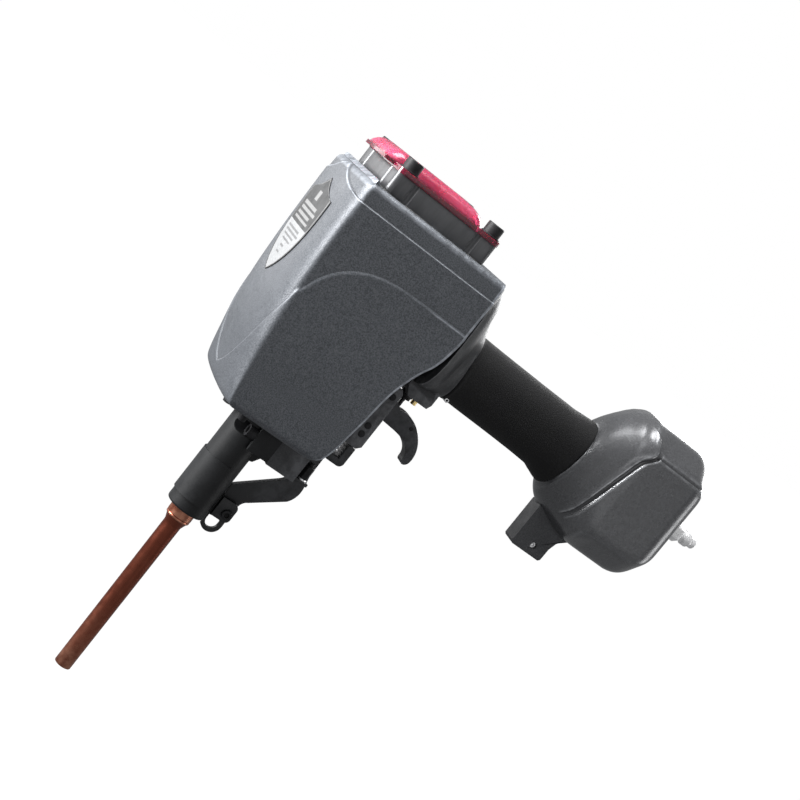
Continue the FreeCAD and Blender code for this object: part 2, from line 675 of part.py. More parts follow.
def make_nose_sleeve():
    """Black sleeve that guides the nose tube, with a flange block screwed to the foot."""
    barrel = rod_z(0, 0, SLEEVE_BOTTOM, SLEEVE_TOP, SLEEVE_R)
    barrel = barrel.makeFillet(2.0, [e for e in barrel.Edges
                                     if abs(e.BoundBox.ZMax - SLEEVE_BOTTOM) < 0.01])
    wrap = rod_z(0, 0, 152, 187, SLEEVE_R + 1.0).common(box(-20, 4, -20, 20, 140, 200))
    block = box(3.5, FOOT_X0 - 0.02, -EAR_HALF_Y, EAR_HALF_Y, EAR_BOTTOM, SLEEVE_TOP)
    web = plate_y([(8, EAR_BOTTOM), (8, 196), (15, 198), (19.5, EAR_BOTTOM)], -9, 9)
    solid = barrel.fuse([wrap, block, web])
    cuts = [rod_z(0, 0, SLEEVE_BOTTOM - 1, TUBE_TOP_Z + SAFETY_TRAVEL + 3, TUBE_COLLAR_R + 0.06),
            rod_z(0, 0, SLEEVE_BOTTOM, SLEEVE_TOP + 1, ROD_R + 0.5),
            box(5, 20, -3.4, 3.4, 149.0, 175.5)]
    for y in NOSE_SCREW_Y:
        cuts.append(rod_x(y, NOSE_SCREW_Z, 0, 30, 3.05))
        cuts.append(rod_x(y, NOSE_SCREW_Z, -20, 3.5, NOSE_HEAD_R + 0.2))
    return solid.cut(cuts)


def socket_screw_x(y, z, x_under, x_top, r_head, r_shank, x_end):
    """Socket-head screw with its head towards -X."""
    head = rod_x(y, z, x_top, x_under, r_head)
    recess = hex_prism(vec(x_top - 2.0, y, z), vec(1, 0, 0), r_head, 4.5)
    return head.fuse(rod_x(y, z, x_under - 0.1, x_end, r_shank)).cut(recess)


def make_nose_screws():
    return group([socket_screw_x(y, NOSE_SCREW_Z, 3.5, -3.5, NOSE_HEAD_R, 3.0, 33.5)
                  for y in NOSE_SCREW_Y])


def make_casing_screws():
    """Small pan-head screws under the nose plate."""
    screws = []
    for x, y in CASING_SCREWS:
        head = cone_z(x, y, SLEEVE_TOP - 5.0, SLEEVE_TOP, 2.9, 3.6)
        screws.append(head.fuse(rod_z(x, y, SLEEVE_TOP, 240, 2.0)))
    return group(screws)


def make_nose_plate():
    """Plate under the body that carries the nose sleeve's flange."""
    front = Part.Arc(vec(-18, -PLATE_HALF_Y, SLEEVE_TOP), vec(PLATE_X0, 0, SLEEVE_TOP),
                     vec(-18, PLATE_HALF_Y, SLEEVE_TOP)).toShape()
    corners = [vec(-18, PLATE_HALF_Y, SLEEVE_TOP), vec(FOOT_X0 - 0.1, PLATE_HALF_Y, SLEEVE_TOP),
               vec(FOOT_X0 - 0.1, -PLATE_HALF_Y, SLEEVE_TOP), vec(-18, -PLATE_HALF_Y, SLEEVE_TOP)]
    edges = [Part.LineSegment(p, q).toShape() for p, q in zip(corners, corners[1:])]
    plate = Part.Face(Part.Wire([front] + edges)).extrude(vec(0, 0, BODY_BOTTOM - SLEEVE_TOP))
    cuts = [rod_z(x, y, 210, 230, 2.1) for x, y in CASING_SCREWS]
    return plate.cut(cuts + [rod_z(0, 0, 210, 230, 8.02)])


# ---------------------------------------------------------------- safety arm
def make_safety_arm():
    """Flat steel arm from the nose bracket up to the slider behind the trigger."""
    runs = [((57.2, 231), (57.4, 217)),
            ((57.4, 217), (58.4, 207), (59.8, 197.8), (58.6, 191.8), (55.6, 186.9)),
            ((55.6, 186.9), (33.6, 170.8)),
            ((33.6, 170.8), (30.6, 168), (29.4, 164.6), (29.2, 160.5)),
            ((29.2, 160.5), (18.5, 160)),
            ((18.5, 160), (15.9, 170), (15.9, 175.6)),
            ((15.9, 175.6), (41.2, 196.4)),
            ((41.2, 196.4), (45.2, 201), (47.3, 208)),
            ((47.3, 208), (47.5, 231)),
            ((47.5, 231), (57.2, 231))]
    bar = curved_plate_y(runs, -2.4, 2.4)
    tab = box(46.8, 57.4, -10.4, -2.3, 204.6, 206.8)
    slider = box(57.2, 70.2, -6.6, 6.6, 229, 246)
    slider = slider.makeFillet(4.0, [e for e in slider.Edges
                                     if abs(e.CenterOfMass.x - 70.2) < 0.1
                                     and abs(e.CenterOfMass.z - 229) < 0.1])
    seat = box(57.0, 64.8, -7, 7, 234.0, 250)
    tongue = box(68.2, 70.2, -2.2, 2.2, 240, 262)
    return bar.fuse([tab, slider.cut(seat), tongue])


def make_arm_bracket():
    """Bracket that ties the arm to the nose tube's collar through the sleeve's slot."""
    body = box(15.6, 29.6, -7.2, 7.2, 150.6, 166.2)
    corners = [e for e in body.Edges if abs(e.tangentAt(e.FirstParameter).y) > 0.9
               and e.CenterOfMass.x > 29]
    body = body.makeFillet(4.0, corners)
    tongue = box(8.0, 16, -3.0, 3.0, 151.2, 164.5)
    solid = body.fuse(tongue)
    cuts = [rod_z(0, 0, 140, 190, TUBE_COLLAR_R), rod_y(24.6, 156.6, -10, 10, 3.02),
            box(15.5, 31, -2.42, 2.42, 159.98, 170)]
    return solid.cut(cuts)


def make_eye_loop():
    """Hanging eye under the bracket."""
    outer = rod_y(21.4, 145.6, -1.6, 1.6, 8.2).fuse(box(13.2, 29.6, -1.6, 1.6, 145.6, 150.6))
    outer = outer.common(box(10, 32, -2, 2, 130, 150.6))
    inner = rod_y(21.4, 145.6, -3, 3, 4.9).fuse(box(16.5, 26.3, -3, 3, 145.6, 148.9))
    return outer.cut(inner).cut(rod_z(0, 0, 130, 160, SLEEVE_R + 0.5))


def make_bracket_bolt():
    head = rod_y(24.6, 156.6, -9.6, -7.2, 3.6)
    recess = hex_prism(vec(24.6, -11, 156.6), vec(0, 1, 0), 3.4, 2.8)
    nut = hex_prism(vec(24.6, 7.2, 156.6), vec(0, 1, 0), 8.0, 3.2)
    shank = rod_y(24.6, 156.6, -7.3, 7.3, 3.0)
    return head.cut(recess).fuse([shank, nut])


def make_arm_stud():
    return rod_z(52.0, -6.4, 206.8, 221.0, 1.9)


def make_arm_nut():
    solid = hex_prism(vec(52.0, -6.4, 208.2), vec(0, 0, 1), 7.2, 10.0)
    return solid.cut(rod_z(52.0, -6.4, 200, 225, 1.9))


def make_arm_washer():
    return ring_z(52.0, -6.4, 206.8, 208.2, 3.9, 1.9)


def make_safety_spring():
    return coil_z(61.2, 0, 234.1, 246.8, 2.3, 0.6, 4)


# ---------------------------------------------------------------- trigger group
def make_bracket():
    """U-shaped trigger bracket pinned to the housing's rear pad."""
    outline = [(BRACKET_X0, BRACKET_Z0), (BRACKET_X1 - 3, BRACKET_Z0), (BRACKET_X1, BRACKET_Z0 + 3),
               (BRACKET_X1, 297), (69.2, BRACKET_Z1), (BRACKET_X0, BRACKET_Z1)]
    solid = plate_y(outline, -BRACKET_HALF_W, BRACKET_HALF_W)
    inner = BRACKET_HALF_W - CHEEK_T
    cuts = [box(61.8, 70.6, -inner, inner, 240, 310),
            box(66, 80, -inner, inner, 270.5, 310),
            rod_y(PIVOT[0], PIVOT[1], -20, 20, PIVOT_R + 0.02)]
    cuts += [rod_y(x, z, -20, 20, 2.52) for x, z in BRACKET_PINS]
    return solid.cut(cuts)


def make_bracket_pins():
    return group([rod_y(x, z, -BRACKET_HALF_W - 0.5, BRACKET_HALF_W + 0.5, 2.5)
                  for x, z in BRACKET_PINS])


def make_trigger_pin():
    return rod_y(PIVOT[0], PIVOT[1], -BRACKET_HALF_W - 0.6, BRACKET_HALF_W + 0.6, PIVOT_R)


def make_trigger():
    """Hooked trigger with a slot between its cheeks for the inner lever."""
    runs = [((62.6, 292), (66.6, 296.0), (70.6, 292)),
            ((70.6, 292), (79, 287.0)),
            ((79, 287.0), (90, 286.6), (101.2, 279.4), (107.6, 270), (109, 262.8), (107.2, 257.4),
             (104.6, 256.4), (102.9, 259.2)),
            ((102.9, 259.2), (101.2, 265.0), (96, 269.6), (88.4, 272.2), (73.4, 273.8)),
            ((73.4, 273.8), (64.5, 281)),
            ((64.5, 281), (62.6, 292))]
    solid = curved_plate_y(runs, -TRIGGER_HALF_W, TRIGGER_HALF_W)
    cuts = [rod_y(PIVOT[0], PIVOT[1], -20, 20, PIVOT_R + 0.05),
            plate_y([(58, 300), (58, 270), (64, 272.5), (90, 275.5), (97.5, 277.5), (97.5, 300)],
                    -2.4, 2.4),
            rod_y(LEVER_PIN[0], LEVER_PIN[1], -20, 20, 1.5)]
    return solid.cut(cuts)


def make_trigger_lever():
    """Inner lever: its tail meets the safety tongue and its back lifts the valve stem."""
    outline = [(62.2, 283.2), (66, 281.2), (91, 278), (96, 278.4), (96.6, 282.6), (92, 284),
               (80, 286.2), (74, 286.2), (62.2, 285.6)]
    solid = plate_y(outline, -2.0, 2.0)
    return solid.cut(rod_y(LEVER_PIN[0], LEVER_PIN[1], -5, 5, 1.55))


def make_lever_pin():
    return rod_y(LEVER_PIN[0], LEVER_PIN[1], -TRIGGER_HALF_W, TRIGGER_HALF_W, 1.5)


def make_valve_body():
    """Trigger valve bush pressed into the boss, with its lower collar showing."""
    body = ring_z(STEM_X, 0, 297.0, 322, 5.0, STEM_R + 0.3)
    collar = ring_z(STEM_X, 0, 294.8, 297.0, 4.2, STEM_R + 0.3)
    return body.fuse(collar)


def make_valve_stem():
    tip = cone_z(STEM_X, 0, 286.7, 287.7, 0.8, STEM_R - 0.2)
    neck = rod_z(STEM_X, 0, 287.7, 293.4, STEM_R - 0.2)
    return tip.fuse([neck, rod_z(STEM_X, 0, 293.4, 315, STEM_R)])


def make_valve_fitting():
    """Small brass bleed fitting beside the valve stem."""
    return rod_z(85.0, 0, 294.6, 299, 2.2).cut(rod_z(85.0, 0, 290, 297, 1.0))


# ---------------------------------------------------------------- grip, tank fittings, plug
def make_grip():
    """Rubber grip sleeve over the handle core."""
    pin_hole = rod_y(GRIP_PIN[0], GRIP_PIN[1], -30, 30, GRIP_PIN_R + 0.02)
    return grip_envelope().cut([handle_core(), pin_hole])


def make_grip_pin():
    """Small bright roll pin at the grip's front lower rim."""
    x, z = GRIP_PIN
    return rod_y(x, z, -11.6, 11.6, GRIP_PIN_R).cut(rod_y(x, z, -15, 15, 0.8))


def make_plug_bush():
    """Hexagonal thread adapter screwed into the reservoir's rear wall."""
    body = rod_x(0, PLUG_Z, TANK_X1 - 12, TANK_X1 + 1, 8.0)
    head = hex_prism(vec(TANK_X1 + 0.2, 0, PLUG_Z), vec(1, 0, 0), 19.0, 8.0)
    return body.fuse(head).cut(rod_x(0, PLUG_Z, TANK_X1 - 14, TANK_X1 + 16, 5.02))


def make_air_plug():
    """Quick-connect air plug: thread, hexagon, neck and nipple."""
    x = TANK_X1 + 8.3
    thread = rod_x(0, PLUG_Z, x - 12.3, x, 5.0)
    collar = hex_prism(vec(x, 0, PLUG_Z), vec(1, 0, 0), 14.0, 9.5)
    nipple = revolve_x([(x + 9.5, 0), (x + 9.5, 4.6), (x + 14.2, 4.6), (x + 15.2, PLUG_R),
                        (x + 19.7, PLUG_R), (x + 21.2, 4.4), (PLUG_END_X - 0.6, 4.4),
                        (PLUG_END_X, 3.8), (PLUG_END_X, 0)], PLUG_Z)
    return thread.fuse([collar, nipple]).cut(rod_x(0, PLUG_Z, x - 14, PLUG_END_X + 10, 2.6))


def make_plug_seal():
    return o_ring_x(TANK_X1 - SEAL_CORD_R, PLUG_Z, SEAL_OUTER_R - 0.05 - SEAL_CORD_R, SEAL_CORD_R)


def make_lug_screw():
    """Bright screw in the lug."""
    x, z = LUG_HOLE
    return rod_y(x, z, -6.5, 6.5, LUG_HOLE_R).cut(hex_prism(vec(x, -8, z), vec(0, 1, 0), 2.6, 3.2))


def make_shield():
    """Plain shield-shaped plate on the front of the casing, following its curve."""
    near = [((0, 310.5), (-12, 318), (-24, 333), (-29.5, 352), (-30, 374)),
            ((-30, 374), (-14, 377.8), (0, 386))]
    far = [[(-y, z) for y, z in reversed(run)] for run in reversed(near)]
    edges = []
    for run in near + far:
        curve = Part.BSplineCurve()
        curve.interpolate([vec(-90, y, z) for y, z in run])
        edges.append(curve.toShape())
    cutter = Part.Face(Part.Wire(edges)).extrude(vec(60, 0, 0))
    skin = body_solid(0.4, 306, SEAM_Z, False)
    core = body_solid(STEP, 300, SEAM_Z + 0.5, False)
    return skin.common(cutter).cut(core)


# ---------------------------------------------------------------- all parts
PARTS = {
    "outer_casing": make_casing,
    "main_housing": make_housing,
    "air_reservoir": make_reservoir,
    "cylinder_head": make_head,
    "head_gasket": make_gasket,
    "exhaust_cap": make_cap,
    "cap_bolts": make_cap_bolts,
    "cap_washers": make_cap_washers,
    "cylinder_liner": make_liner,
    "liner_seal": make_liner_seals,
    "piston": make_piston,
    "piston_ring": make_piston_ring,
    "driver_rod": make_driver_rod,
    "rod_nut": make_rod_nut,
    "piston_bumper": make_bumper,
    "rod_guide_bush": make_rod_guide,
    "head_valve": make_head_valve,
    "head_valve_spring": make_head_valve_spring,
    "nose_tube": make_nose_tube,
    "nose_sleeve": make_nose_sleeve,
    "nose_screws": make_nose_screws,
    "casing_screws": make_casing_screws,
    "nose_plate": make_nose_plate,
    "safety_arm": make_safety_arm,
    "arm_bracket": make_arm_bracket,
    "eye_loop": make_eye_loop,
    "bracket_bolt": make_bracket_bolt,
    "arm_stud": make_arm_stud,
    "arm_nut": make_arm_nut,
    "arm_washer": make_arm_washer,
    "safety_spring": make_safety_spring,
    "trigger_bracket": make_bracket,
    "bracket_pins": make_bracket_pins,
    "trigger_pin": make_trigger_pin,
    "trigger": make_trigger,
    "trigger_lever": make_trigger_lever,
    "lever_pin": make_lever_pin,
    "valve_body": make_valve_body,
    "valve_stem": make_valve_stem,
    "bleed_fitting": make_valve_fitting,
    "rubber_grip": make_grip,
    "grip_pin": make_grip_pin,
    "plug_bush": make_plug_bush,
    "air_plug": make_air_plug,
    "plug_seal": make_plug_seal,
    "lug_screw": make_lug_screw,
    "shield_plate": make_shield,
}

for part_name, maker in PARTS.items():
    save(part_name, maker())
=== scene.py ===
import json
import math

import bmesh
import bpy
from mathutils import Matrix, Vector


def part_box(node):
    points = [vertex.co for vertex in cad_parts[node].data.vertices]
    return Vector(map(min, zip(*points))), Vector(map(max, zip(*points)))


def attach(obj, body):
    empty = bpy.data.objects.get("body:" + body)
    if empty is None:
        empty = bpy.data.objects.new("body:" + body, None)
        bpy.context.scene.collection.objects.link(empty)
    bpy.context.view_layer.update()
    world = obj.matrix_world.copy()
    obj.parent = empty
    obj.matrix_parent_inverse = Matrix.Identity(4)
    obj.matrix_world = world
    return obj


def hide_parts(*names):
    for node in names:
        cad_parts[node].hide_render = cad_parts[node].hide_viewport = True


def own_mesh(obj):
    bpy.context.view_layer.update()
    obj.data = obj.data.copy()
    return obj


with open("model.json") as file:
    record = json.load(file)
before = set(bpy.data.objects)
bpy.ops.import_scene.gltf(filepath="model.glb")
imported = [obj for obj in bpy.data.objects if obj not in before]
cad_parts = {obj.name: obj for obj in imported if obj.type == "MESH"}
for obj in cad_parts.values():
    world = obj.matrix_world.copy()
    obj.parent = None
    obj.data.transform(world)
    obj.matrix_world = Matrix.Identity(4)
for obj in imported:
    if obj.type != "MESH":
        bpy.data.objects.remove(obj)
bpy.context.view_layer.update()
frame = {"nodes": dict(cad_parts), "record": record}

MM = 0.001
NODES = frame["nodes"]
BODY_OF = {n: b for b, names in frame["record"]["behaviour"]["bodies"].items() for n in names}
SLOT_OF = {p["node"]: p["material_slot"] for p in frame["record"]["subparts"]}
TAU = 2 * math.pi


# ---------------------------------------------------------------- small maths
def clamp(v):
    return max(0.0, min(1.0, v))


def smooth(low, high, v):
    t = clamp((v - low) / (high - low))
    return t * t * (3 - 2 * t)


def mix(a, b, t):
    return a + (b - a) * t


def slope_at(table, k):
    """Slope of the smooth curve through a table at its row k."""
    if k in (0, len(table) - 1):
        return 0.0 if k else (table[1][1] - table[0][1]) / (table[1][0] - table[0][0])
    left = (table[k][1] - table[k - 1][1]) / (table[k][0] - table[k - 1][0])
    right = (table[k + 1][1] - table[k][1]) / (table[k + 1][0] - table[k][0])
    return 0.0 if left * right <= 0 else 2 * left * right / (left + right)


def between(table, v):
    """Value on a smooth curve through (position, value) pairs sorted upwards."""
    if v <= table[0][0]:
        return table[0][1]
    if v >= table[-1][0]:
        return table[-1][1]
    k = max(i for i, row in enumerate(table) if row[0] <= v)
    k = min(k, len(table) - 2)
    (p0, v0), (p1, v1) = table[k], table[k + 1]
    h = p1 - p0
    t = (v - p0) / h
    rise = v0 * (1 + 2 * t) * (1 - t) ** 2 + v1 * t * t * (3 - 2 * t)
    leaving, arriving = slope_at(table, k), slope_at(table, k + 1)
    return rise + h * (leaving * t * (1 - t) ** 2 - arriving * t * t * (1 - t))


def column(stations, c, x):
    """Value of column c at position x, on a smooth curve through the stations."""
    return between([(s[0], s[c]) for s in stations], x)


def resample(points, count):
    """The same polyline with count evenly spaced points."""
    lengths = [0.0]
    for p, q in zip(points, points[1:]):
        lengths.append(lengths[-1] + math.dist(p, q))
    result = []
    k = 0
    for i in range(count):
        target = lengths[-1] * i / (count - 1)
        while k < len(points) - 2 and lengths[k + 1] < target:
            k += 1
        span = lengths[k + 1] - lengths[k] or 1.0
        t = clamp((target - lengths[k]) / span)
        result.append(tuple(mix(a, b, t) for a, b in zip(points[k], points[k + 1])))
    return result


# ---------------------------------------------------------------- shader building
# pointiness spans read as a rounded outer edge and as an inner corner
CONVEX = (0.505, 0.53)
CONCAVE = (0.465, 0.492)
# heights and places along X (mm) between which a coat's pale edges appear: rubbed wear, painted much
# paler as highlights on the top and rear edges that catch the light
WEAR_AND_HIGHLIGHT_Z = (366.0, 384.0)
WEAR_AND_HIGHLIGHT_X = (30.0, 38.0)
FAINT_WEAR_AND_HIGHLIGHT, REAR_WEAR_AND_HIGHLIGHT = 0.12, 0.8
GRAIN_SCALE = 1150.0
METAL_SPREAD = 0.15
CAP_FLANGE_Z = (420.3, 422.5)


class Shader:
    """A material being built from nodes, with object coordinates in metres."""

    def __init__(self, name):
        self.material = bpy.data.materials.new(name)
        self.material.use_nodes = True
        self.tree = self.material.node_tree
        self.bsdf = self.tree.nodes["Principled BSDF"]
        self.coords = self.tree.nodes.new("ShaderNodeTexCoord").outputs["Object"]
        self.height = None

    def node(self, kind, **values):
        made = self.tree.nodes.new(kind)
        for key, value in values.items():
            setattr(made, key, value)
        return made

    def link(self, source, target):
        self.tree.links.new(source, target)

    def set(self, **values):
        for key, value in values.items():
            self.bsdf.inputs[key.replace("_", " ")].default_value = value

    def stretched(self, scale):
        mapping = self.node("ShaderNodeMapping")
        mapping.inputs["Scale"].default_value = scale
        self.link(self.coords, mapping.inputs["Vector"])
        return mapping.outputs["Vector"]

    def noise(self, scale, detail=4.0, rough=0.55, stretch=None):
        made = self.node("ShaderNodeTexNoise")
        made.inputs["Scale"].default_value = scale
        made.inputs["Detail"].default_value = detail
        made.inputs["Roughness"].default_value = rough
        self.link(self.stretched(stretch) if stretch else self.coords, made.inputs["Vector"])
        return made.outputs["Fac"]

    def cells(self, scale):
        made = self.node("ShaderNodeTexVoronoi", feature="F1")
        made.inputs["Scale"].default_value = scale
        self.link(self.coords, made.inputs["Vector"])
        return made.outputs["Distance"]

    def ramp(self, source, stops):
        """Colours along a 0-1 value: stops are (position, colour) pairs."""
        made = self.node("ShaderNodeValToRGB")
        elements = made.color_ramp.elements
        while len(elements) < len(stops):
            elements.new(0.5)
        for element, (position, colour) in zip(elements, stops):
            element.position = position
            element.color = (*colour, 1.0) if len(colour) == 3 else colour
        self.link(source, made.inputs["Fac"])
        return made.outputs["Color"]

    def grey_ramp(self, source, stops):
        return self.ramp(source, [(p, (v, v, v)) for p, v in stops])

    def range(self, source, low, high, out_low, out_high):
        made = self.node("ShaderNodeMapRange")
        for socket, value in zip(("From Min", "From Max", "To Min", "To Max"),
                                 (low, high, out_low, out_high)):
            made.inputs[socket].default_value = value
        self.link(source, made.inputs["Value"])
        return made.outputs["Result"]

    def math(self, operation, a, b=None):
        made = self.node("ShaderNodeMath", operation=operation)
        for k, value in enumerate((a, b)):
            if value is None:
                continue
            if isinstance(value, (int, float)):
                made.inputs[k].default_value = value
            else:
                self.link(value, made.inputs[k])
        return made.outputs["Value"]

    def mix_colour(self, factor, a, b, blend="MIX"):
        made = self.node("ShaderNodeMix", data_type="RGBA", blend_type=blend)
        for socket, value in ((made.inputs[0], factor), (made.inputs[6], a), (made.inputs[7], b)):
            if isinstance(value, (int, float)):
                socket.default_value = value
            elif isinstance(value, tuple):
                socket.default_value = (*value, 1.0)
            else:
                self.link(value, socket)
        return made.outputs[2]

    def bump(self, source, distance_mm, strength=1.0):
        made = self.node("ShaderNodeBump")
        made.inputs["Distance"].default_value = distance_mm * MM
        made.inputs["Strength"].default_value = strength
        self.link(source, made.inputs["Height"])
        if self.height:
            self.link(self.height, made.inputs["Normal"])
        self.height = made.outputs["Normal"]
        self.link(self.height, self.bsdf.inputs["Normal"])

    def edges(self):
        """1 on convex edges, 0 elsewhere, broken up by noise."""
        point = self.node("ShaderNodeNewGeometry").outputs["Pointiness"]
        wear_and_highlight = self.range(point, *CONVEX, 0.0, 1.0)
        return self.math("MULTIPLY", wear_and_highlight, self.range(self.noise(160.0), 0.35, 0.6, 0.2, 1.0))

    def paint(self, colour):
        self.link(colour, self.bsdf.inputs["Base Color"])

    def roughness(self, source, low, high):
        self.link(self.range(source, 0.3, 0.7, low, high), self.bsdf.inputs["Roughness"])


def cast_coat(name, dark, light, metallic, rough, grain_mm=0.16, coat=0.0, edge_wear_and_highlight=1.0):
    """Fine textured coat on a casting: a speckled grain, soft mottling, pale rubbed edges that are
    painted highlights on the top and rear, and painted shade in inner corners.
    """
    s = Shader(name)
    grain = s.noise(GRAIN_SCALE, 3.0, 0.6)
    speckle = s.ramp(grain, [(0.34, dark), (0.66, light)])
    mottle = s.range(s.noise(30.0, 3.0), 0.3, 0.7, 0.93, 1.06)
    shaded = s.mix_colour(1.0, speckle, s.grey_ramp(mottle, [(0.0, 0.0), (1.0, 1.0)]), "MULTIPLY")
    # painted highlight: convex edges turned up to three times the light speckle, fully over the top
    # band and towards the rear, broken up by noise like rubbed wear
    if edge_wear_and_highlight:
        parts = s.node("ShaderNodeSeparateXYZ")
        s.link(s.coords, parts.inputs[0])
        height = s.range(parts.outputs["Z"], WEAR_AND_HIGHLIGHT_Z[0] * MM, WEAR_AND_HIGHLIGHT_Z[1] * MM, 1.0 - edge_wear_and_highlight, 1.0)
        rear = s.range(parts.outputs["X"], WEAR_AND_HIGHLIGHT_X[0] * MM, WEAR_AND_HIGHLIGHT_X[1] * MM, FAINT_WEAR_AND_HIGHLIGHT, REAR_WEAR_AND_HIGHLIGHT)
        wear_and_highlight = s.math("MULTIPLY", s.edges(), s.math("MAXIMUM", height, rear))
        shaded = s.mix_colour(wear_and_highlight, shaded, tuple(min(1.0, v * 3.0) for v in light))
        # painted shade: inner corners darkened towards a third of the dark speckle
        point = s.node("ShaderNodeNewGeometry").outputs["Pointiness"]
        crease_shade = s.range(point, *CONCAVE, 0.8, 0.0)
        shaded = s.mix_colour(crease_shade, shaded, tuple(v * 0.3 for v in dark))
    s.paint(shaded)
    s.set(Metallic=metallic, Coat_Weight=coat, Coat_Roughness=0.3)
    s.roughness(s.noise(90.0, 4.0), rough - 0.05, rough + 0.08)
    s.bump(grain, grain_mm, 0.8)
    s.bump(s.noise(60.0, 2.0), 0.12, 0.35)
    return s.material


def plain_metal(name, colour, rough, metallic=1.0, stretch=None, scale=220.0, grain_mm=0.02,
                wear=None):
    """Metal with a slight grain, stretched along one axis where it is brushed or turned."""
    s = Shader(name)
    grain = s.noise(scale, 5.0, 0.6, stretch)
    low = tuple(v * (1 - METAL_SPREAD) for v in colour)
    high = tuple(min(1.0, v * (1 + METAL_SPREAD)) for v in colour)
    base = s.ramp(grain, [(0.3, low), (0.7, high)])
    smudge = s.range(s.noise(45.0, 3.0), 0.35, 0.7, 0.0, 0.35)
    base = s.mix_colour(smudge, base, tuple(v * 0.75 for v in colour))
    if wear:
        base = s.mix_colour(s.edges(), base, wear)
    s.paint(base)
    s.set(Metallic=metallic)
    s.roughness(s.noise(130.0, 4.0), max(0.04, rough - 0.06), rough + 0.08)
    s.bump(grain, grain_mm, 0.5)
    return s.material


def rubber(name, colour, rough, pebble_mm, pebble_scale):
    """Matt rubber with a pebbled skin and a little dust."""
    s = Shader(name)
    cell = s.cells(pebble_scale)
    pebble = s.range(cell, 0.05, 0.65, 1.0, 0.0)
    fine = s.noise(900.0, 3.0)
    dusty = s.range(s.noise(40.0, 4.0), 0.35, 0.75, 0.0, 0.5)
    base = s.mix_colour(dusty, colour, tuple(v * 1.7 for v in colour))
    s.paint(s.mix_colour(s.range(cell, 0.3, 0.7, 0.0, 0.5), base, tuple(v * 0.5 for v in colour)))
    s.roughness(fine, rough - 0.05, rough + 0.1)
    s.set(Specular_IOR_Level=0.35)
    s.bump(pebble, pebble_mm, 0.8)
    s.bump(fine, pebble_mm * 0.3, 0.5)
    return s.material


def red_plastic(name):
    """Translucent crimson plastic, slightly milky and wavy, with painted shade darkening the flange
    under the lip.
    """
    s = Shader(name)
    flow = s.noise(28.0, 3.0)
    parts = s.node("ShaderNodeSeparateXYZ")
    s.link(s.coords, parts.inputs[0])
    # painted shade: the flange below the lip is painted a deep dark red
    flange_shade = s.range(parts.outputs["Z"], CAP_FLANGE_Z[0] * MM, CAP_FLANGE_Z[1] * MM, 0.0, 1.0)
    dome = s.ramp(flow, [(0.3, (0.55, 0.03, 0.11)), (0.7, (0.8, 0.12, 0.24))])
    s.paint(s.mix_colour(flange_shade, (0.2, 0.004, 0.03), dome))
    s.set(Transmission_Weight=0.55, IOR=1.45, Coat_Weight=0.6, Coat_Roughness=0.12)
    s.bsdf.inputs["Subsurface Weight"].default_value = 0.35
    s.bsdf.inputs["Subsurface Radius"].default_value = (0.006, 0.001, 0.0015)
    s.bsdf.inputs["Subsurface Scale"].default_value = 1.0
    s.roughness(s.noise(110.0, 3.0), 0.2, 0.34)
    s.bump(flow, 0.25, 0.4)
    s.bump(s.noise(420.0, 2.0), 0.03, 0.4)
    return s.material


def dulled(material, level):
    """Lowers the plain reflection of a blackened surface."""
    material.node_tree.nodes["Principled BSDF"].inputs["Specular IOR Level"].default_value = level
    return material


def fibre(name, colour):
    """Pressed fibre with strands across it."""
    s = Shader(name)
    strands = s.noise(500.0, 6.0, 0.7, (1.0, 0.3, 1.0))
    s.paint(s.ramp(strands, [(0.3, tuple(v * 0.7 for v in colour)), (0.7, colour)]))
    s.set(Roughness=0.85)
    s.bump(strands, 0.05, 0.8)
    return s.material


def nylon(name, colour):
    """Satin plastic, slightly clouded."""
    s = Shader(name)
    cloud = s.noise(70.0, 3.0)
    s.paint(s.ramp(cloud, [(0.3, tuple(v * 0.92 for v in colour)), (0.7, colour)]))
    s.roughness(cloud, 0.38, 0.5)
    s.bump(s.noise(600.0, 3.0), 0.03, 0.5)
    return s.material


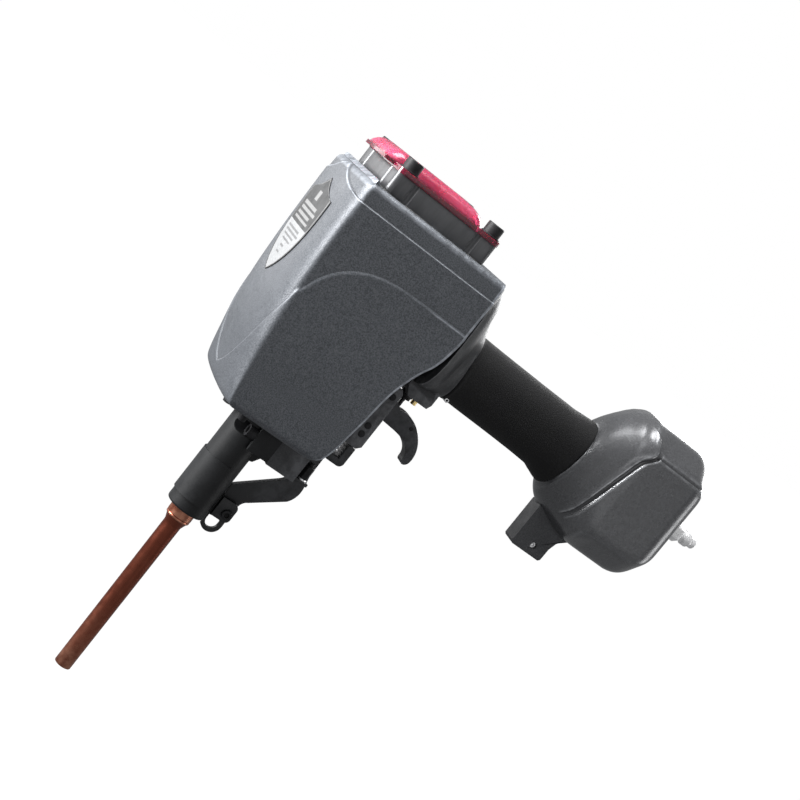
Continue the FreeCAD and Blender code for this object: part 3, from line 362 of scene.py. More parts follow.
def shield_label(name):
    """Foil plate: dark upper field with pale bars, pale lower field, dark border."""
    s = Shader(name)
    parts = s.node("ShaderNodeSeparateXYZ")
    s.link(s.coords, parts.inputs[0])
    y, z = parts.outputs["Y"], parts.outputs["Z"]
    wide = s.math("ABSOLUTE", y)
    upper = s.math("GREATER_THAN", z, LABEL_SPLIT_Z * MM)
    bars = None
    for z0, height, half, y0 in LABEL_BARS:
        row = s.math("LESS_THAN", s.math("ABSOLUTE", s.math("SUBTRACT", z, z0 * MM)), height * MM)
        side = s.math("LESS_THAN", s.math("ABSOLUTE", s.math("SUBTRACT", y, y0 * MM)), half * MM)
        bar = s.math("MULTIPLY", row, side)
        bars = bar if bars is None else s.math("MAXIMUM", bars, bar)
    rise = s.range(z, SHIELD_OUTLINE[0][0] * MM, SHIELD_OUTLINE[-1][0] * MM, 0.0, 1.0)
    span = SHIELD_OUTLINE[-1][0] - SHIELD_OUTLINE[0][0]
    stops = [((at - SHIELD_OUTLINE[0][0]) / span, half / SHIELD_HALF)
             for at, half in SHIELD_OUTLINE]
    limit = s.math("MULTIPLY", s.grey_ramp(rise, stops), SHIELD_HALF * MM)
    inside = s.math("SUBTRACT", limit, wide)
    border = s.math("LESS_THAN", inside, LABEL_BORDER * MM)
    line = s.math("MULTIPLY", s.math("LESS_THAN", inside, LABEL_LINE_END * MM),
                  s.math("GREATER_THAN", inside, LABEL_BORDER * MM))
    flake = s.noise(700.0, 2.0)
    dark = s.ramp(flake, [(0.3, (0.016, 0.0165, 0.017)), (0.7, (0.03, 0.031, 0.032))])
    pale = s.ramp(flake, [(0.3, (0.2, 0.205, 0.21)), (0.7, (0.29, 0.295, 0.3))])
    field = s.mix_colour(upper, pale, dark)
    ink = s.mix_colour(upper, (0.07, 0.07, 0.072), (0.24, 0.24, 0.24))
    field = s.mix_colour(s.math("MULTIPLY", bars, 0.75), field, ink)
    field = s.mix_colour(line, field, (0.2, 0.2, 0.2))
    s.paint(s.mix_colour(border, field, (0.016, 0.016, 0.017)))
    s.set(Metallic=0.3)
    s.roughness(s.noise(80.0, 3.0), 0.36, 0.5)
    s.bump(s.noise(500.0, 2.0), 0.03, 0.5)
    return s.material


# centre height, half height, half width, centre offset (mm) of each generic bar
LABEL_BARS = ((371.0, 3.6, 4.2, 0.0), (362.5, 1.3, 19.0, 1.5), (358.6, 1.1, 21.0, -1.0),
              (354.6, 1.1, 18.0, 2.0), (350.9, 0.9, 20.0, 0.0), (343.6, 0.8, 17.0, 1.0),
              (340.6, 0.8, 19.0, -1.0), (337.4, 0.7, 15.0, 0.5), (334.2, 0.7, 12.0, -1.0),
              (329.8, 0.8, 5.0, 0.0), (325.0, 0.7, 4.0, 0.0))
LABEL_SPLIT_Z = 347.5
LABEL_BORDER, LABEL_LINE_END = 1.6, 2.4
# height, half width of the label
SHIELD_OUTLINE = ((310.5, 0.0), (312.5, 4.2), (318, 12.0), (325, 18.6), (333, 24.0), (342, 27.4),
                  (352, 29.5), (363, 30.2), (373.9, 30.0), (375.4, 24.0), (377.8, 14.0), (382, 6.2),
                  (386, 0.0))
SHIELD_HALF = 30.2

MATERIALS = {
    "casing_coat": cast_coat("casing_coat", (0.046, 0.05, 0.057), (0.117, 0.125, 0.138), 0.3, 0.42,
                             edge_wear_and_highlight=1.0),
    "housing_cast": cast_coat("housing_cast", (0.024, 0.025, 0.027), (0.046, 0.047, 0.05), 0.2,
                              0.5),
    # painted shade: the lug under the reservoir gets a half-bright copy of the reservoir's coat
    "lug_shaded_coat": cast_coat("lug_shaded_coat", (0.035, 0.036, 0.039), (0.07, 0.072, 0.077), 0.3, 0.45, 0.06,
                          edge_wear_and_highlight=0.0),
    "reservoir_cast": cast_coat("reservoir_cast", (0.07, 0.071, 0.075), (0.135, 0.138, 0.144), 0.45,
                                0.24, 0.07, 0.5, edge_wear_and_highlight=0.3),
    "head_alloy": plain_metal("head_alloy", (0.08, 0.081, 0.085), 0.36, 0.55,
                              stretch=(1.0, 1.0, 0.15)),
    "gasket_fibre": fibre("gasket_fibre", (0.16, 0.16, 0.155)),
    "cap_red": red_plastic("cap_red"),
    "black_steel": dulled(plain_metal("black_steel", (0.004, 0.004, 0.0045), 0.5, 0.0,
                                      wear=(0.02, 0.02, 0.022)), 0.22),
    "ground_steel": plain_metal("ground_steel", (0.58, 0.58, 0.59), 0.22, stretch=(1.0, 1.0, 0.1)),
    "seal_rubber": rubber("seal_rubber", (0.015, 0.015, 0.016), 0.5, 0.02, 900.0),
    "bumper_rubber": rubber("bumper_rubber", (0.02, 0.02, 0.02), 0.6, 0.04, 500.0),
    "piston_alloy": plain_metal("piston_alloy", (0.68, 0.68, 0.7), 0.25, stretch=(1.0, 1.0, 6.0)),
    "brass": plain_metal("brass", (0.78, 0.6, 0.28), 0.25),
    "white_nylon": nylon("white_nylon", (0.78, 0.78, 0.75)),
    "spring_steel": plain_metal("spring_steel", (0.96, 0.96, 0.97), 0.3, 0.15),
    "tube_copper": plain_metal("tube_copper", (0.20, 0.052, 0.03), 0.28, 0.9,
                               stretch=(1.0, 1.0, 0.03), scale=900.0, grain_mm=0.03,
                               wear=(0.45, 0.2, 0.13)),
    "sleeve_black": dulled(cast_coat("sleeve_black", (0.007, 0.0075, 0.008),
                                     (0.012, 0.0125, 0.0135), 0.05, 0.5, 0.02), 0.25),
    "arm_black": cast_coat("arm_black", (0.009, 0.0095, 0.0105), (0.016, 0.0165, 0.018), 0.15, 0.45,
                           0.02),
    "bright_zinc": plain_metal("bright_zinc", (0.8, 0.8, 0.81), 0.18),
    "trigger_black": cast_coat("trigger_black", (0.01, 0.0105, 0.0115), (0.019, 0.0195, 0.0215),
                               0.15, 0.45, 0.02),
    "stem_black": plain_metal("stem_black", (0.03, 0.03, 0.032), 0.3),
    "grip_rubber": rubber("grip_rubber", (0.006, 0.006, 0.0064), 0.72, 0.14, 1000.0),
    "plug_chrome": plain_metal("plug_chrome", (0.95, 0.95, 0.96), 0.3, 0.35, grain_mm=0.01),
    "shield_foil": shield_label("shield_foil"),
}


# ---------------------------------------------------------------- mesh helpers
MERGE_MM = 0.02
FLAT_LIMIT_DEG = 0.3
SMOOTH_DEG = 38.0
BEVEL_DEG = 32.0


def settle(obj, angle):
    """Applies the modifiers and smooths every edge flatter than angle degrees."""
    depsgraph = bpy.context.evaluated_depsgraph_get()
    mesh = bpy.data.meshes.new_from_object(obj.evaluated_get(depsgraph))
    obj.modifiers.clear()
    obj.data = mesh
    mesh.polygons.foreach_set("use_smooth", [True] * len(mesh.polygons))
    mesh.set_sharp_from_angle(angle=math.radians(angle))


def stand_for(obj, *names):
    """Lets a piece ride, take its material and stand for CAD nodes."""
    first = names[0]
    obj.data.materials.clear()
    obj.data.materials.append(MATERIALS[SLOT_OF[first]])
    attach(obj, BODY_OF[first])
    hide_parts(*names)
    return obj


def piece(name, verts, faces):
    """New object from vertices in millimetres, with doubled points merged."""
    mesh = bpy.data.meshes.new(name)
    mesh.from_pydata([tuple(c * MM for c in v) for v in verts], [], faces)
    obj = bpy.data.objects.new(name, mesh)
    bpy.context.scene.collection.objects.link(obj)
    bm = bmesh.new()
    bm.from_mesh(mesh)
    bmesh.ops.remove_doubles(bm, verts=bm.verts, dist=1e-6)
    bmesh.ops.dissolve_degenerate(bm, edges=bm.edges, dist=1e-6)
    bmesh.ops.recalc_face_normals(bm, faces=bm.faces)
    bm.to_mesh(mesh)
    bm.free()
    return obj


def skin_loops(loops, closed=True, caps=True):
    """Faces between successive loops of equal length, with an n-gon over each end."""
    verts, faces = [], []
    count = len(loops[0])
    for loop in loops:
        verts.extend(loop)
    last = count if closed else count - 1
    for i in range(len(loops) - 1):
        for k in range(last):
            a, b = i * count + k, i * count + (k + 1) % count
            faces.append((a, b, b + count, a + count))
    if caps and closed:
        faces.append(tuple(range(count)))
        faces.append(tuple(range((len(loops) - 1) * count, len(loops) * count)))
    return verts, faces


def bevelled(obj, width_mm, segments=2, angle=BEVEL_DEG):
    """Rounds every edge sharper than angle degrees."""
    mod = obj.modifiers.new("bevel", "BEVEL")
    mod.width = width_mm * MM
    mod.segments = segments
    mod.limit_method = "ANGLE"
    mod.angle_limit = math.radians(angle)
    mod.use_clamp_overlap = True
    normals = obj.modifiers.new("normals", "WEIGHTED_NORMAL")
    normals.keep_sharp = True


def refined(node, width_mm):
    """Copy of a CAD node with its edges rounded and its curved faces smoothed."""
    mesh = NODES[node].data.copy()
    obj = bpy.data.objects.new(node + "_looks", mesh)
    bpy.context.scene.collection.objects.link(obj)
    bm = bmesh.new()
    bm.from_mesh(mesh)
    bmesh.ops.remove_doubles(bm, verts=bm.verts, dist=MERGE_MM * MM)
    bmesh.ops.dissolve_limit(bm, angle_limit=math.radians(FLAT_LIMIT_DEG), verts=bm.verts,
                             edges=bm.edges)
    bm.to_mesh(mesh)
    bm.free()
    if width_mm:
        bevelled(obj, width_mm)
    settle(obj, SMOOTH_DEG)
    return stand_for(obj, node)


# ---------------------------------------------------------------- outer casing
# (height, place) pairs up the body: front centre, front corner, half width, corner power, rear edge
FRONT_MID = ((229.5, -39), (230.5, -42), (232.5, -44.2), (238, -46.5), (256, -51.5), (280, -56.8),
             (312, -60.2), (350, -61.2), (387.5, -61.5), (402, -61.0))
FRONT_CORNER = ((229.5, -33.5), (230.5, -35.8), (232.5, -37.8), (238, -39.3), (256, -41.8),
                (280, -44.5), (312, -47), (350, -49.2), (387.5, -49.6), (402, -49.3))
HALF_WIDTH = ((229.5, 52), (230.3, 54.2), (231.6, 55.4), (234, 56), (256, 56.5), (280, 56.9),
              (312, 57), (350, 57), (387.5, 57), (402, 56.5))
SQUARENESS = ((229.5, 2.1), (256, 2.15), (312, 2.3), (402, 2.5))
REAR_EDGE = ((229.5, 24), (230.6, 29), (232.8, 33.5), (236, 36.6), (241, 38.5), (248, 40.1),
             (261, 41.8), (274, 43.5), (288, 44.8), (298, 46.2), (309, 49), (321, 53.5),
             (330.5, 58.4), (340.4, 61.1), (357, 63.1), (402, 63.5))
# boundary of the raised lower panel and of the top band, across the front and along the side
FRONT_VEE = ((0, 241), (10, 245), (20, 251), (29, 258.5), (40, 271), (47, 284), (51.5, 296),
             (55, 308), (57.4, 319.5))
SIDE_ARC = ((-49, 316.5), (-47, 320.5), (-43, 330.5), (-31.7, 344.7), (-11.4, 355.4), (9.2, 358.6),
            (30, 359.0), (90, 359.0))
FRONT_SEAM = ((0, 403), (8.5, 399.7), (24, 393.5), (40, 389.9), (52, 388), (57, 387.5))
BODY_BOTTOM, BODY_TOP, SEAM_Z = 229.5, 402.0, 387.5
TOP_ROUND = 4.5
LEDGE_HALF = 0.55
CASING_WALL = 2.9
RIM_BEVEL = 1.25
ROW_PITCH, SEAM_PITCH = 0.8, 0.2
SEAM_ROWS = 6
TOP_STEPS = 8
CORNER_STEPS = 240
SIDE_POINTS, FRONT_POINTS = 124, 76
CAP_COLUMNS = (-1.0, -0.9, -0.7, -0.5, -0.325, 0.0, 0.325, 0.5, 0.7, 0.9, 1.0)
WINDOW_X, WINDOW_HALF = -17.3, 18.3
MOUTH_R = 41.0


def boundary_gap(table, position, height, step=1.0):
    """Distance in mm below a sloping boundary line (negative above it)."""
    here = between(table, position)
    slope = (between(table, position + step) - between(table, position - step)) / (2 * step)
    return (here - height) / math.sqrt(1 + slope * slope)


def casing_inset(x, y, z):
    """How far the skin lies inside the raised lower panel: 0 there, 1 mid, 2 in the top band."""
    on_front = x < between(FRONT_CORNER, z) + 0.01
    if on_front:
        panel = boundary_gap(FRONT_VEE, abs(y), z)
        seam = boundary_gap(FRONT_SEAM, abs(y), z)
    else:
        panel = boundary_gap(SIDE_ARC, x, z)
        seam = SEAM_Z - z
    below_panel = smooth(-LEDGE_HALF, LEDGE_HALF, panel)
    below_seam = smooth(-LEDGE_HALF, LEDGE_HALF, seam)
    return 2.0 - below_seam * (1.0 + below_panel)


def casing_half(z, extra):
    """One side of the body's plan outline, rear edge first, ending at the front's centre."""
    mid = between(FRONT_MID, z)
    corner = between(FRONT_CORNER, z)
    half = between(HALF_WIDTH, z)
    power = between(SQUARENESS, z)
    rear = between(REAR_EDGE, z)
    front = []
    for k in range(CORNER_STEPS + 1):
        angle = math.pi / 2 * (1 - k / CORNER_STEPS)
        front.append((corner + (mid - corner) * abs(math.cos(angle)) ** (2 / power),
                      half * abs(math.sin(angle)) ** (2 / power)))
    front = resample(front, FRONT_POINTS)
    side = [(mix(rear, corner, k / SIDE_POINTS), half) for k in range(SIDE_POINTS)]
    outline = side + front
    moved = []
    for k, (x, y) in enumerate(outline):
        px, py = outline[max(0, k - 1)]
        qx, qy = outline[min(len(outline) - 1, k + 1)]
        tx, ty = qx - px, qy - py
        length = math.hypot(tx, ty) or 1.0
        inset = casing_inset(x, y, z) + extra
        nx, ny = ty / length, -tx / length
        if k == len(outline) - 1:
            nx, ny = -1.0, 0.0
        elif k < SIDE_POINTS:
            nx, ny = 0.0, 1.0
        moved.append((x - nx * inset, max(0.0, y - ny * inset)))
    return moved


def casing_rows():
    """(height, extra inset) of every outline, closer together at the foot, the seam and the top."""
    rows = [229.5, 229.8, 230.1, 230.5, 230.9, 231.4, 232.0, 232.7]
    z = 233.4
    while z < SEAM_Z - 1.5:
        rows.append(z)
        z += ROW_PITCH
    rows += [SEAM_Z + d * SEAM_PITCH for d in range(-SEAM_ROWS, SEAM_ROWS + 1)]
    z = SEAM_Z + 2.0
    while z < BODY_TOP - TOP_ROUND - 0.3:
        rows.append(z)
        z += ROW_PITCH
    result = [(z, 0.0) for z in rows]
    for k in range(TOP_STEPS + 1):
        angle = math.pi / 2 * k / TOP_STEPS
        result.append((BODY_TOP - TOP_ROUND + TOP_ROUND * math.sin(angle),
                       TOP_ROUND * (1 - math.cos(angle))))
    return result


def in_rear_window(x, y):
    """The notch in the body's floor that opens towards the rear."""
    return x > WINDOW_X and abs(y) < WINDOW_HALF - 1


def in_cylinder_mouth(x, y):
    """The opening in the body's top, under the cylinder head."""
    return math.hypot(x, y) < MOUTH_R


def flat_fill(verts, faces, outline, z, is_open):
    """Flat plate across the body between the two halves of an outline, less its opening."""
    start = len(verts)
    wide = len(CAP_COLUMNS)
    for x, y in outline:
        verts.extend((x, y * c, z) for c in CAP_COLUMNS)
    for k in range(len(outline) - 1):
        for c in range(wide - 1):
            a = start + k * wide + c
            x = (outline[k][0] + outline[k + 1][0]) / 2
            y = outline[k][1] * (CAP_COLUMNS[c] + CAP_COLUMNS[c + 1]) / 2
            if is_open(x, y):
                continue
            faces.append((a, a + 1, a + 1 + wide, a + wide))


def make_casing():
    """U-shaped shell with a raised lower panel, a stepped top band and rounded rims."""
    rows = casing_rows()
    halves = [casing_half(z, extra) for z, extra in rows]
    loops = []
    for (z, _), half in zip(rows, halves):
        near = [(x, -y, z) for x, y in half]
        far = [(x, y, z) for x, y in reversed(half[:-1])]
        loops.append(near + far)
    verts, faces = skin_loops(loops, closed=False, caps=False)
    flat_fill(verts, faces, halves[0], BODY_BOTTOM, in_rear_window)
    flat_fill(verts, faces, halves[-1], BODY_TOP, in_cylinder_mouth)
    obj = piece("outer_casing_looks", verts, faces)
    wall = obj.modifiers.new("wall", "SOLIDIFY")
    wall.thickness = CASING_WALL * MM
    wall.offset = -1.0
    bevel = obj.modifiers.new("rim", "BEVEL")
    bevel.width = RIM_BEVEL * MM
    bevel.segments = 4
    bevel.limit_method = "ANGLE"
    bevel.angle_limit = math.radians(62)
    settle(obj, 50.0)
    return stand_for(obj, "outer_casing")


# ---------------------------------------------------------------- air reservoir
GRIP_Z = 335.4
TANK_TOP, TANK_BOTTOM = 392.3, 280.6
TANK_MID = (TANK_TOP + TANK_BOTTOM) / 2
# x, centre z, half width, half height, chamfer reach, edge power, lean
TANK = ((202.2, 332.6, 22.6, 29.6, 120, 2.05, 5.0), (205, 333.2, 25, 36.5, 118, 2.1, 5.6),
        (210, 334.3, 27.6, 43.6, 114, 2.25, 5.6), (217, 335.3, 30.5, 49.6, 106, 2.6, 5),
        (226, TANK_MID, 34.2, 54.2, 92, 3.6, 3.6), (233, TANK_MID, 36.2, 55.4, 80, 7, 2),
        (240, TANK_MID, 37, 55.85, 76, 18, 0.8), (248, TANK_MID, 37, 55.85, 74.5, 34, 0),
        (299.7, TANK_MID, 37, 55.85, 74.5, 34, 0))
# height, place of the side panel's front edge
PANEL_FRONT = ((296, 217.5), (304, 220.7), (316.6, 223.3), (334.3, 227.1), (348.4, 230.8),
               (362.5, 235.2), (373, 242.5), (381, 240.5), (391, 233))
REAR_ROUND_Z, REAR_ROUND_Y = 24.0, 17.0
TANK_START = 202.2
TANK_END = 299.7
TANK_RING = 360
TANK_HALF_W = 37
RIDGE_HEIGHT, GROOVE_DEPTH, LIP_DEPTH = 0.95, 2.2, 0.7
CHAMFER_FOLLOW = 0.85
# (end of span, spacing of the outlines in it) along X
TANK_SPANS = ((252, 0.6), (272, 2.2), (TANK_END, 0.9))


def rounded_end(x, full, radius):
    """Half size at x, with the closed end rounded by a quarter circle."""
    depth = x - (TANK_END - radius)
    if depth <= 0:
        return full
    return full - radius + math.sqrt(max(0.0, radius * radius - depth * depth))


def tank_point(x, angle):
    """Point of the reservoir's skin: a rounded box with chamfered corners that swells into a dome."""
    z_mid, reach, power, lean = (column(TANK, c, x) for c in (1, 4, 5, 6))
    half_w = rounded_end(x, column(TANK, 2, x), REAR_ROUND_Y)
    half_h = rounded_end(x, column(TANK, 3, x), REAR_ROUND_Z)
    reach -= CHAMFER_FOLLOW * (column(TANK, 2, x) - half_w + column(TANK, 3, x) - half_h)
    c, s = math.cos(angle), math.sin(angle)
    gauge = ((abs(c) / half_w) ** power + (abs(s) / half_h) ** power
             + ((abs(c) + abs(s)) / reach) ** power) ** (1 / power)
    y, dz = c / gauge, s / gauge
    z = z_mid + dz
    px = x + lean * dz / half_h
    push = panel_edge(px, y, z)
    grow = 1 + push / math.hypot(y, dz)
    return (px, y * grow, z_mid + dz * grow)


def panel_edge(x, y, z):
    """Ridge then groove where the dome meets the flat side panel."""
    q = x - between(PANEL_FRONT, z)
    side = smooth(0.5, 0.7, abs(y) / TANK_HALF_W)
    ridge = smooth(-5.2, -2.0, q) * (1 - smooth(-0.8, 0.2, q))
    groove = smooth(-0.2, 0.7, q) * (1 - smooth(2.8, 4.4, q))
    reach = smooth(292, 304, z) * (1 - smooth(371, 376, z))
    lip = smooth(370.6, 371.4, z) * (1 - smooth(372.2, 373.2, z)) * smooth(1.5, 3, q)
    raised = RIDGE_HEIGHT * ridge * (0.35 + 0.65 * reach)
    sunk = GROOVE_DEPTH * groove * reach + LIP_DEPTH * lip
    return side * (raised - sunk)


def make_reservoir():
    """Air reservoir with a domed front and a flat panel on each side."""
    xs = []
    x = TANK_START
    while x < TANK_END - 0.01:
        xs.append(x)
        x += next(pitch for end, pitch in TANK_SPANS if x < end)
    xs += [TANK_END - 0.3, TANK_END - 0.08, TANK_END]
    angles = [TAU * k / TANK_RING for k in range(TANK_RING)]
    loops = [[tank_point(x, a) for a in angles] for x in xs]
    start = [(x + 0.4, y * 0.8, GRIP_Z + (z - GRIP_Z) * 0.8) for x, y, z in loops[0]]
    verts, faces = skin_loops([start] + loops)
    obj = piece("air_reservoir_looks", verts, faces)
    settle(obj, 40.0)
    return stand_for(obj, "air_reservoir")


LUG_OUTLINE = ((208.8, 291), (208.8, 258.0), (210.3, 256.5), (235.5, 256.5), (237, 258.0),
               (237.2, 268), (239, 274.5), (243, 279.5), (248, 282.4), (248, 291), (208.8, 291))
LUG_HALF = 8.5
LUG_BEVEL = 0.9
LUG_POINTS = 260
LUG_HOLE, LUG_HOLE_R = (225.4, 263.8), 2.65


def make_lug():
    """Hanging lug under the reservoir, drilled through for its screw."""
    outline = resample(LUG_OUTLINE, LUG_POINTS)[:-1]
    hx, hz = LUG_HOLE
    hole = []
    for x, z in outline:
        reach = math.hypot(x - hx, z - hz)
        hole.append((hx + LUG_HOLE_R * (x - hx) / reach, hz + LUG_HOLE_R * (z - hz) / reach))
    loops = []
    for y, ring in ((-LUG_HALF, hole), (-LUG_HALF, outline), (LUG_HALF, outline), (LUG_HALF, hole),
                    (-LUG_HALF, hole)):
        loops.append([(x, y, z) for x, z in ring])
    obj = piece("reservoir_lug", *skin_loops(loops, caps=False))
    bevelled(obj, LUG_BEVEL, 3, 40.0)
    settle(obj, SMOOTH_DEG)
    obj.data.materials.append(MATERIALS["lug_shaded_coat"])
    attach(obj, BODY_OF["air_reservoir"])
    return obj


# ---------------------------------------------------------------- rubber grip
# x, centre z, half width, half height, lean
GRIP = ((93, 337.3, 22.0, 26.9, -2.0), (95, 337.0, 21.9, 26.7, -1.9), (96.6, 336.8, 21.3, 26.1, -1.6),
        (150, 335.5, 21.3, 25.9, 0), (182, 334.6, 21.5, 26.3, 2.5), (192, 333.5, 22.0, 28.0, 3.7),
        (201.8, 332.6, 22.4, 29.5, 5.0))
GRIP_POWER = 2.3
GRIP_CORE = (17.6, 22.5)
RIM_ROUND = 1.6
RIM_STEPS = 5
GRIP_RING = 160


def oval(x, z_mid, half_w, half_h, lean):
    """Upright rounded outline across the grip; lean shifts its top along X."""
    points = []
    for k in range(GRIP_RING):
        a = TAU * k / GRIP_RING
        c, s = math.cos(a), math.sin(a)
        y = half_w * math.copysign(abs(c) ** (2 / GRIP_POWER), c)
        dz = half_h * math.copysign(abs(s) ** (2 / GRIP_POWER), s)
        points.append((x + lean * dz / half_h, y, z_mid + dz))
    return points


def grip_loop(x, inset):
    z_mid, half_w, half_h, lean = (column(GRIP, c, x) for c in (1, 2, 3, 4))
    return oval(x, z_mid, half_w - inset, half_h - inset, lean)


def make_grip():
    """Rubber sleeve, open at both ends, with rounded rims."""
    x0, x1 = GRIP[0][0], GRIP[-1][0]
    loops = [oval(x0, GRIP_Z, *GRIP_CORE, -2.5)]
    for k in range(RIM_STEPS + 1):
        a = math.pi / 2 * k / RIM_STEPS
        loops.append(grip_loop(x0 + RIM_ROUND * (1 - math.cos(a)) + 1e-3 * k,
                               RIM_ROUND * (1 - math.sin(a))))
    x = x0 + RIM_ROUND + 0.6
    while x < x1 - RIM_ROUND - 0.5:
        loops.append(grip_loop(x, 0.0))
        x += 1.0
    for k in range(RIM_STEPS + 1):
        a = math.pi / 2 * (1 - k / RIM_STEPS)
        loops.append(grip_loop(x1 - RIM_ROUND * (1 - math.cos(a)) - 1e-3 * (RIM_STEPS - k),
                               RIM_ROUND * (1 - math.sin(a))))
    loops.append(oval(x1, GRIP_Z, *GRIP_CORE, 4))
    verts, faces = skin_loops(loops, caps=False)
    obj = piece("rubber_grip_looks", verts, faces)
    settle(obj, 50.0)
    return stand_for(obj, "rubber_grip")


# ---------------------------------------------------------------- turned pieces
TUBE_RING = 72
# radius, height: up the bore, round the mouth, then up the outside to the collar
TUBE_PROFILE = ((3.55, 79.5), (4.5, 79.0), (4.5, 0.5), (4.8, 0.1), (5.2, 0.0), (5.9, 0.0),
                (6.2, 0.15), (6.4, 0.5), (6.45, 20), (6.55, 60), (6.65, 100), (6.7, 128.0),
                (6.75, 129.0), (7.1, 130.0), (8.3, 133.2), (8.7, 133.9), (8.95, 134.1),
                (9.25, 134.2), (9.4, 134.6), (9.4, 135.4), (9.2, 135.7), (9.2, 136.1),
                (9.5, 136.4), (9.5, 176.0), (3.55, 176.0), (3.55, 79.5))
# node, joint that works it, wire radius (mm), turns, share of its length kept, height of its fixed end
SPRINGS = (("safety_spring", "safety_slide", 0.6, 4, 0.37, 0.2468),
           ("head_valve_spring", "head_valve_lift", 1.1, 3, 0.72, 0.4126))
STEPS_PER_TURN, WIRE_RING = 26, 10


def lathe(name, profile):
    """Solid of revolution about Z from (radius, height) points."""
    angles = [TAU * k / TUBE_RING for k in range(TUBE_RING)]
    loops = [[(radius * math.cos(a), radius * math.sin(a), z) for a in angles] for radius, z in profile]
    verts, faces = skin_loops(loops, caps=False)
    return piece(name, verts, faces)


def make_nose_tube():
    """Nose tube with a rolled mouth, a turned ring at the flare and a through bore."""
    obj = lathe("nose_tube_looks", TUBE_PROFILE)
    settle(obj, 34.0)
    return stand_for(obj, "nose_tube")


def make_springs():
    """Round-wire coils for the two springs, each filling its CAD part's box."""
    for node, joint, wire, turns, keep, anchor_z in SPRINGS:
        low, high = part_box(node)
        middle = (low + high) / 2
        radius = (high.x - low.x) / 2 / MM - wire
        bottom, top = low.z / MM + wire, high.z / MM - wire
        steps = STEPS_PER_TURN * turns
        loops = []
        for k in range(steps + 1):
            t = k / steps
            a = TAU * turns * t
            out = Vector((math.cos(a), math.sin(a), 0))
            centre = Vector((middle.x / MM, middle.y / MM, mix(bottom, top, t))) + out * radius
            round_wire = (TAU * j / WIRE_RING for j in range(WIRE_RING))
            loops.append([tuple(centre + out * wire * math.cos(b) + Vector((0, 0, wire * math.sin(b))))
                          for b in round_wire])
        obj = piece(node + "_looks", *skin_loops(loops))
        settle(obj, 50.0)
        stand_for(obj, node)
        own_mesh(obj)


# ---------------------------------------------------------------- build everything
make_casing()
make_reservoir()
make_lug()
make_grip()
make_nose_tube()
make_springs()

# how far each CAD node's edges are rounded
BEVEL_MM = {
    "main_housing": 0.8, "cylinder_head": 0.5, "head_gasket": 0.0, "exhaust_cap": 0.6,
    "cap_bolts": 0.35, "cap_washers": 0.2, "nose_sleeve": 0.6, "nose_plate": 0.5,
    "nose_screws": 0.3, "casing_screws": 0.25, "safety_arm": 0.4, "arm_bracket": 0.5,
    "eye_loop": 0.4, "bracket_bolt": 0.3, "arm_stud": 0.2, "arm_nut": 0.3, "arm_washer": 0.15,
    "trigger_bracket": 0.4, "bracket_pins": 0.3, "trigger_pin": 0.3, "trigger": 0.7,
    "trigger_lever": 0.25, "lever_pin": 0.2, "valve_body": 0.3, "valve_stem": 0.2,
    "bleed_fitting": 0.2, "grip_pin": 0.15, "plug_bush": 0.35, "air_plug": 0.3, "plug_seal": 0.0,
    "lug_screw": 0.2, "shield_plate": 0.15, "cylinder_liner": 0.3, "liner_seal": 0.0,
    "piston": 0.3, "piston_ring": 0.1, "driver_rod": 0.1, "rod_nut": 0.3, "piston_bumper": 0.3,
    "rod_guide_bush": 0.2, "head_valve": 0.3,
}
for node_name, width in BEVEL_MM.items():
    refined(node_name, width)


# ---------------------------------------------------------------- stage, light and camera
FLOOR_HALF, FLOOR_Z = 60000, -450
CAMERA_TURN, CAMERA_RISE, CAMERA_ROLL = -21.5, 6.5, 38.5
CAMERA_TARGET = (0.0757, 0.0, 0.292)
CAMERA_DISTANCE = 1.2
CAMERA_LENS = 77.1
# name, place, aimed at, size in metres, power
LIGHTS = (("key_front", (-1.6, 0.05, 0.72), (0.0, 0.0, 0.33), 0.9, 100.0),
          ("back_left", (-0.9, 1.5, 0.5), (-0.05, 0.0, 0.33), 0.9, 6.5),
          ("key_top", (-0.25, -0.2, 1.9), (0.1, 0.0, 0.35), 1.1, 40.0),
          ("side_fill", (0.5, -2.0, 0.5), (0.1, 0.0, 0.3), 1.6, 3.5),
          ("rim_back", (1.3, 1.1, 0.9), (0.1, 0.0, 0.3), 0.9, 30.0),
          ("rim_low", (1.5, -0.25, 0.12), (0.05, 0.0, 0.28), 0.5, 3.0))
FILL_STRENGTH = 0.27
FLOOR_GLOW = 0.985


def make_floor():
    """Plain pale floor that neither lights the object nor shows in its reflections."""
    corners = ((-1, -1), (1, -1), (1, 1), (-1, 1))
    floor = piece("floor", [(x * FLOOR_HALF, y * FLOOR_HALF, FLOOR_Z) for x, y in corners],
                  [(0, 1, 2, 3)])
    s = Shader("floor_white")
    s.paint(s.ramp(s.noise(0.6, 2.0), [(0.3, (0.015, 0.015, 0.015)), (0.7, (0.02, 0.02, 0.02))]))
    s.set(Roughness=0.9)
    s.bsdf.inputs["Emission Color"].default_value = (1.0, 1.0, 1.0, 1.0)
    s.bsdf.inputs["Emission Strength"].default_value = FLOOR_GLOW
    floor.data.materials.append(s.material)
    floor.visible_diffuse = False
    floor.visible_glossy = False
    floor.visible_transmission = True


def area_light(name, place, aim, size, power):
    data = bpy.data.lights.new(name, "AREA")
    data.shape = "RECTANGLE"
    data.size = size
    data.size_y = size
    data.energy = power
    light = bpy.data.objects.new(name, data)
    light.location = place
    light.rotation_euler = (Vector(aim) - Vector(place)).to_track_quat("-Z", "Y").to_euler()
    bpy.context.scene.collection.objects.link(light)


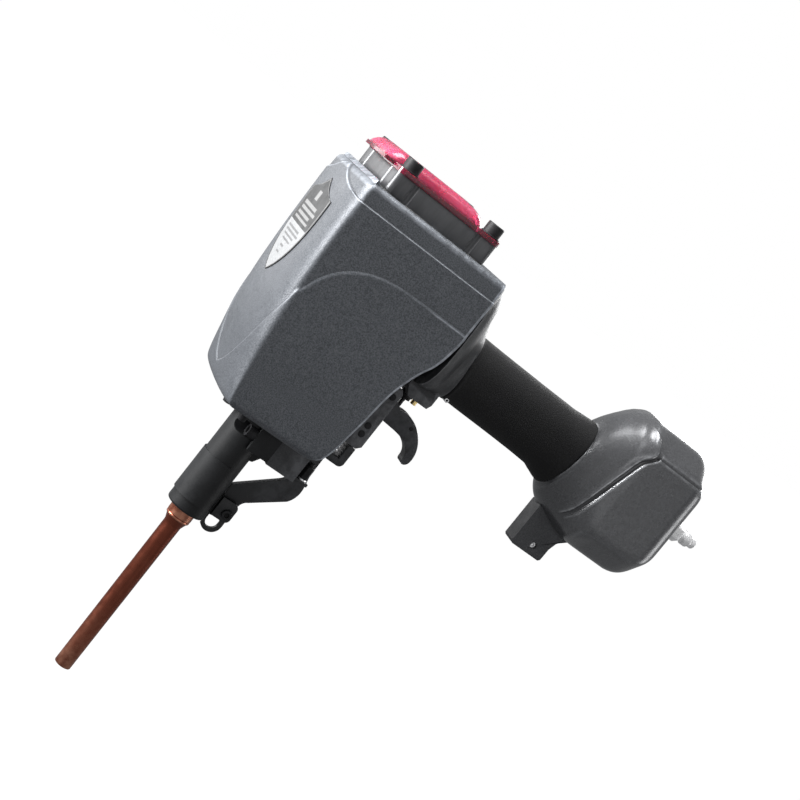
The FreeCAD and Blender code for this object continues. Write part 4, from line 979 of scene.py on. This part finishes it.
def make_world():
    """White to the camera, a dim even fill to everything else."""
    world = bpy.data.worlds.new("studio")
    bpy.context.scene.world = world
    world.use_nodes = True
    tree = world.node_tree
    tree.nodes.clear()
    output = tree.nodes.new("ShaderNodeOutputWorld")
    seen = tree.nodes.new("ShaderNodeBackground")
    seen.inputs["Color"].default_value = (1.0, 1.0, 1.0, 1.0)
    seen.inputs["Strength"].default_value = 1.0
    fill = tree.nodes.new("ShaderNodeBackground")
    fill.inputs["Color"].default_value = (0.97, 0.98, 1.0, 1.0)
    fill.inputs["Strength"].default_value = FILL_STRENGTH
    path = tree.nodes.new("ShaderNodeLightPath")
    blend = tree.nodes.new("ShaderNodeMixShader")
    tree.links.new(path.outputs["Is Camera Ray"], blend.inputs["Fac"])
    tree.links.new(fill.outputs[0], blend.inputs[1])
    tree.links.new(seen.outputs[0], blend.inputs[2])
    tree.links.new(blend.outputs[0], output.inputs["Surface"])


def make_camera():
    """Seen from the nose side, a little above, rolled so that the tool leans over."""
    turn, rise, roll = (math.radians(v) for v in (CAMERA_TURN, CAMERA_RISE, CAMERA_ROLL))
    back = Vector((math.sin(turn) * math.cos(rise), -math.cos(turn) * math.cos(rise),
                   math.sin(rise)))
    right = Vector((math.cos(turn), math.sin(turn), 0.0))
    up = right.cross(-back)
    x_axis = right * math.cos(roll) + up * math.sin(roll)
    y_axis = up * math.cos(roll) - right * math.sin(roll)
    data = bpy.data.cameras.new("camera")
    data.sensor_width = 36.0
    data.lens = CAMERA_LENS
    data.clip_end = 200.0
    camera = bpy.data.objects.new("camera", data)
    place = Vector(CAMERA_TARGET) + back * CAMERA_DISTANCE
    camera.matrix_world = Matrix(((x_axis.x, y_axis.x, back.x, place.x),
                                  (x_axis.y, y_axis.y, back.y, place.y),
                                  (x_axis.z, y_axis.z, back.z, place.z),
                                  (0, 0, 0, 1)))
    bpy.context.scene.collection.objects.link(camera)
    bpy.context.scene.camera = camera


make_floor()
make_world()
make_camera()
for light_values in LIGHTS:
    area_light(*light_values)
bpy.context.scene.view_settings.view_transform = "Standard"
bpy.context.scene.view_settings.look = "None"
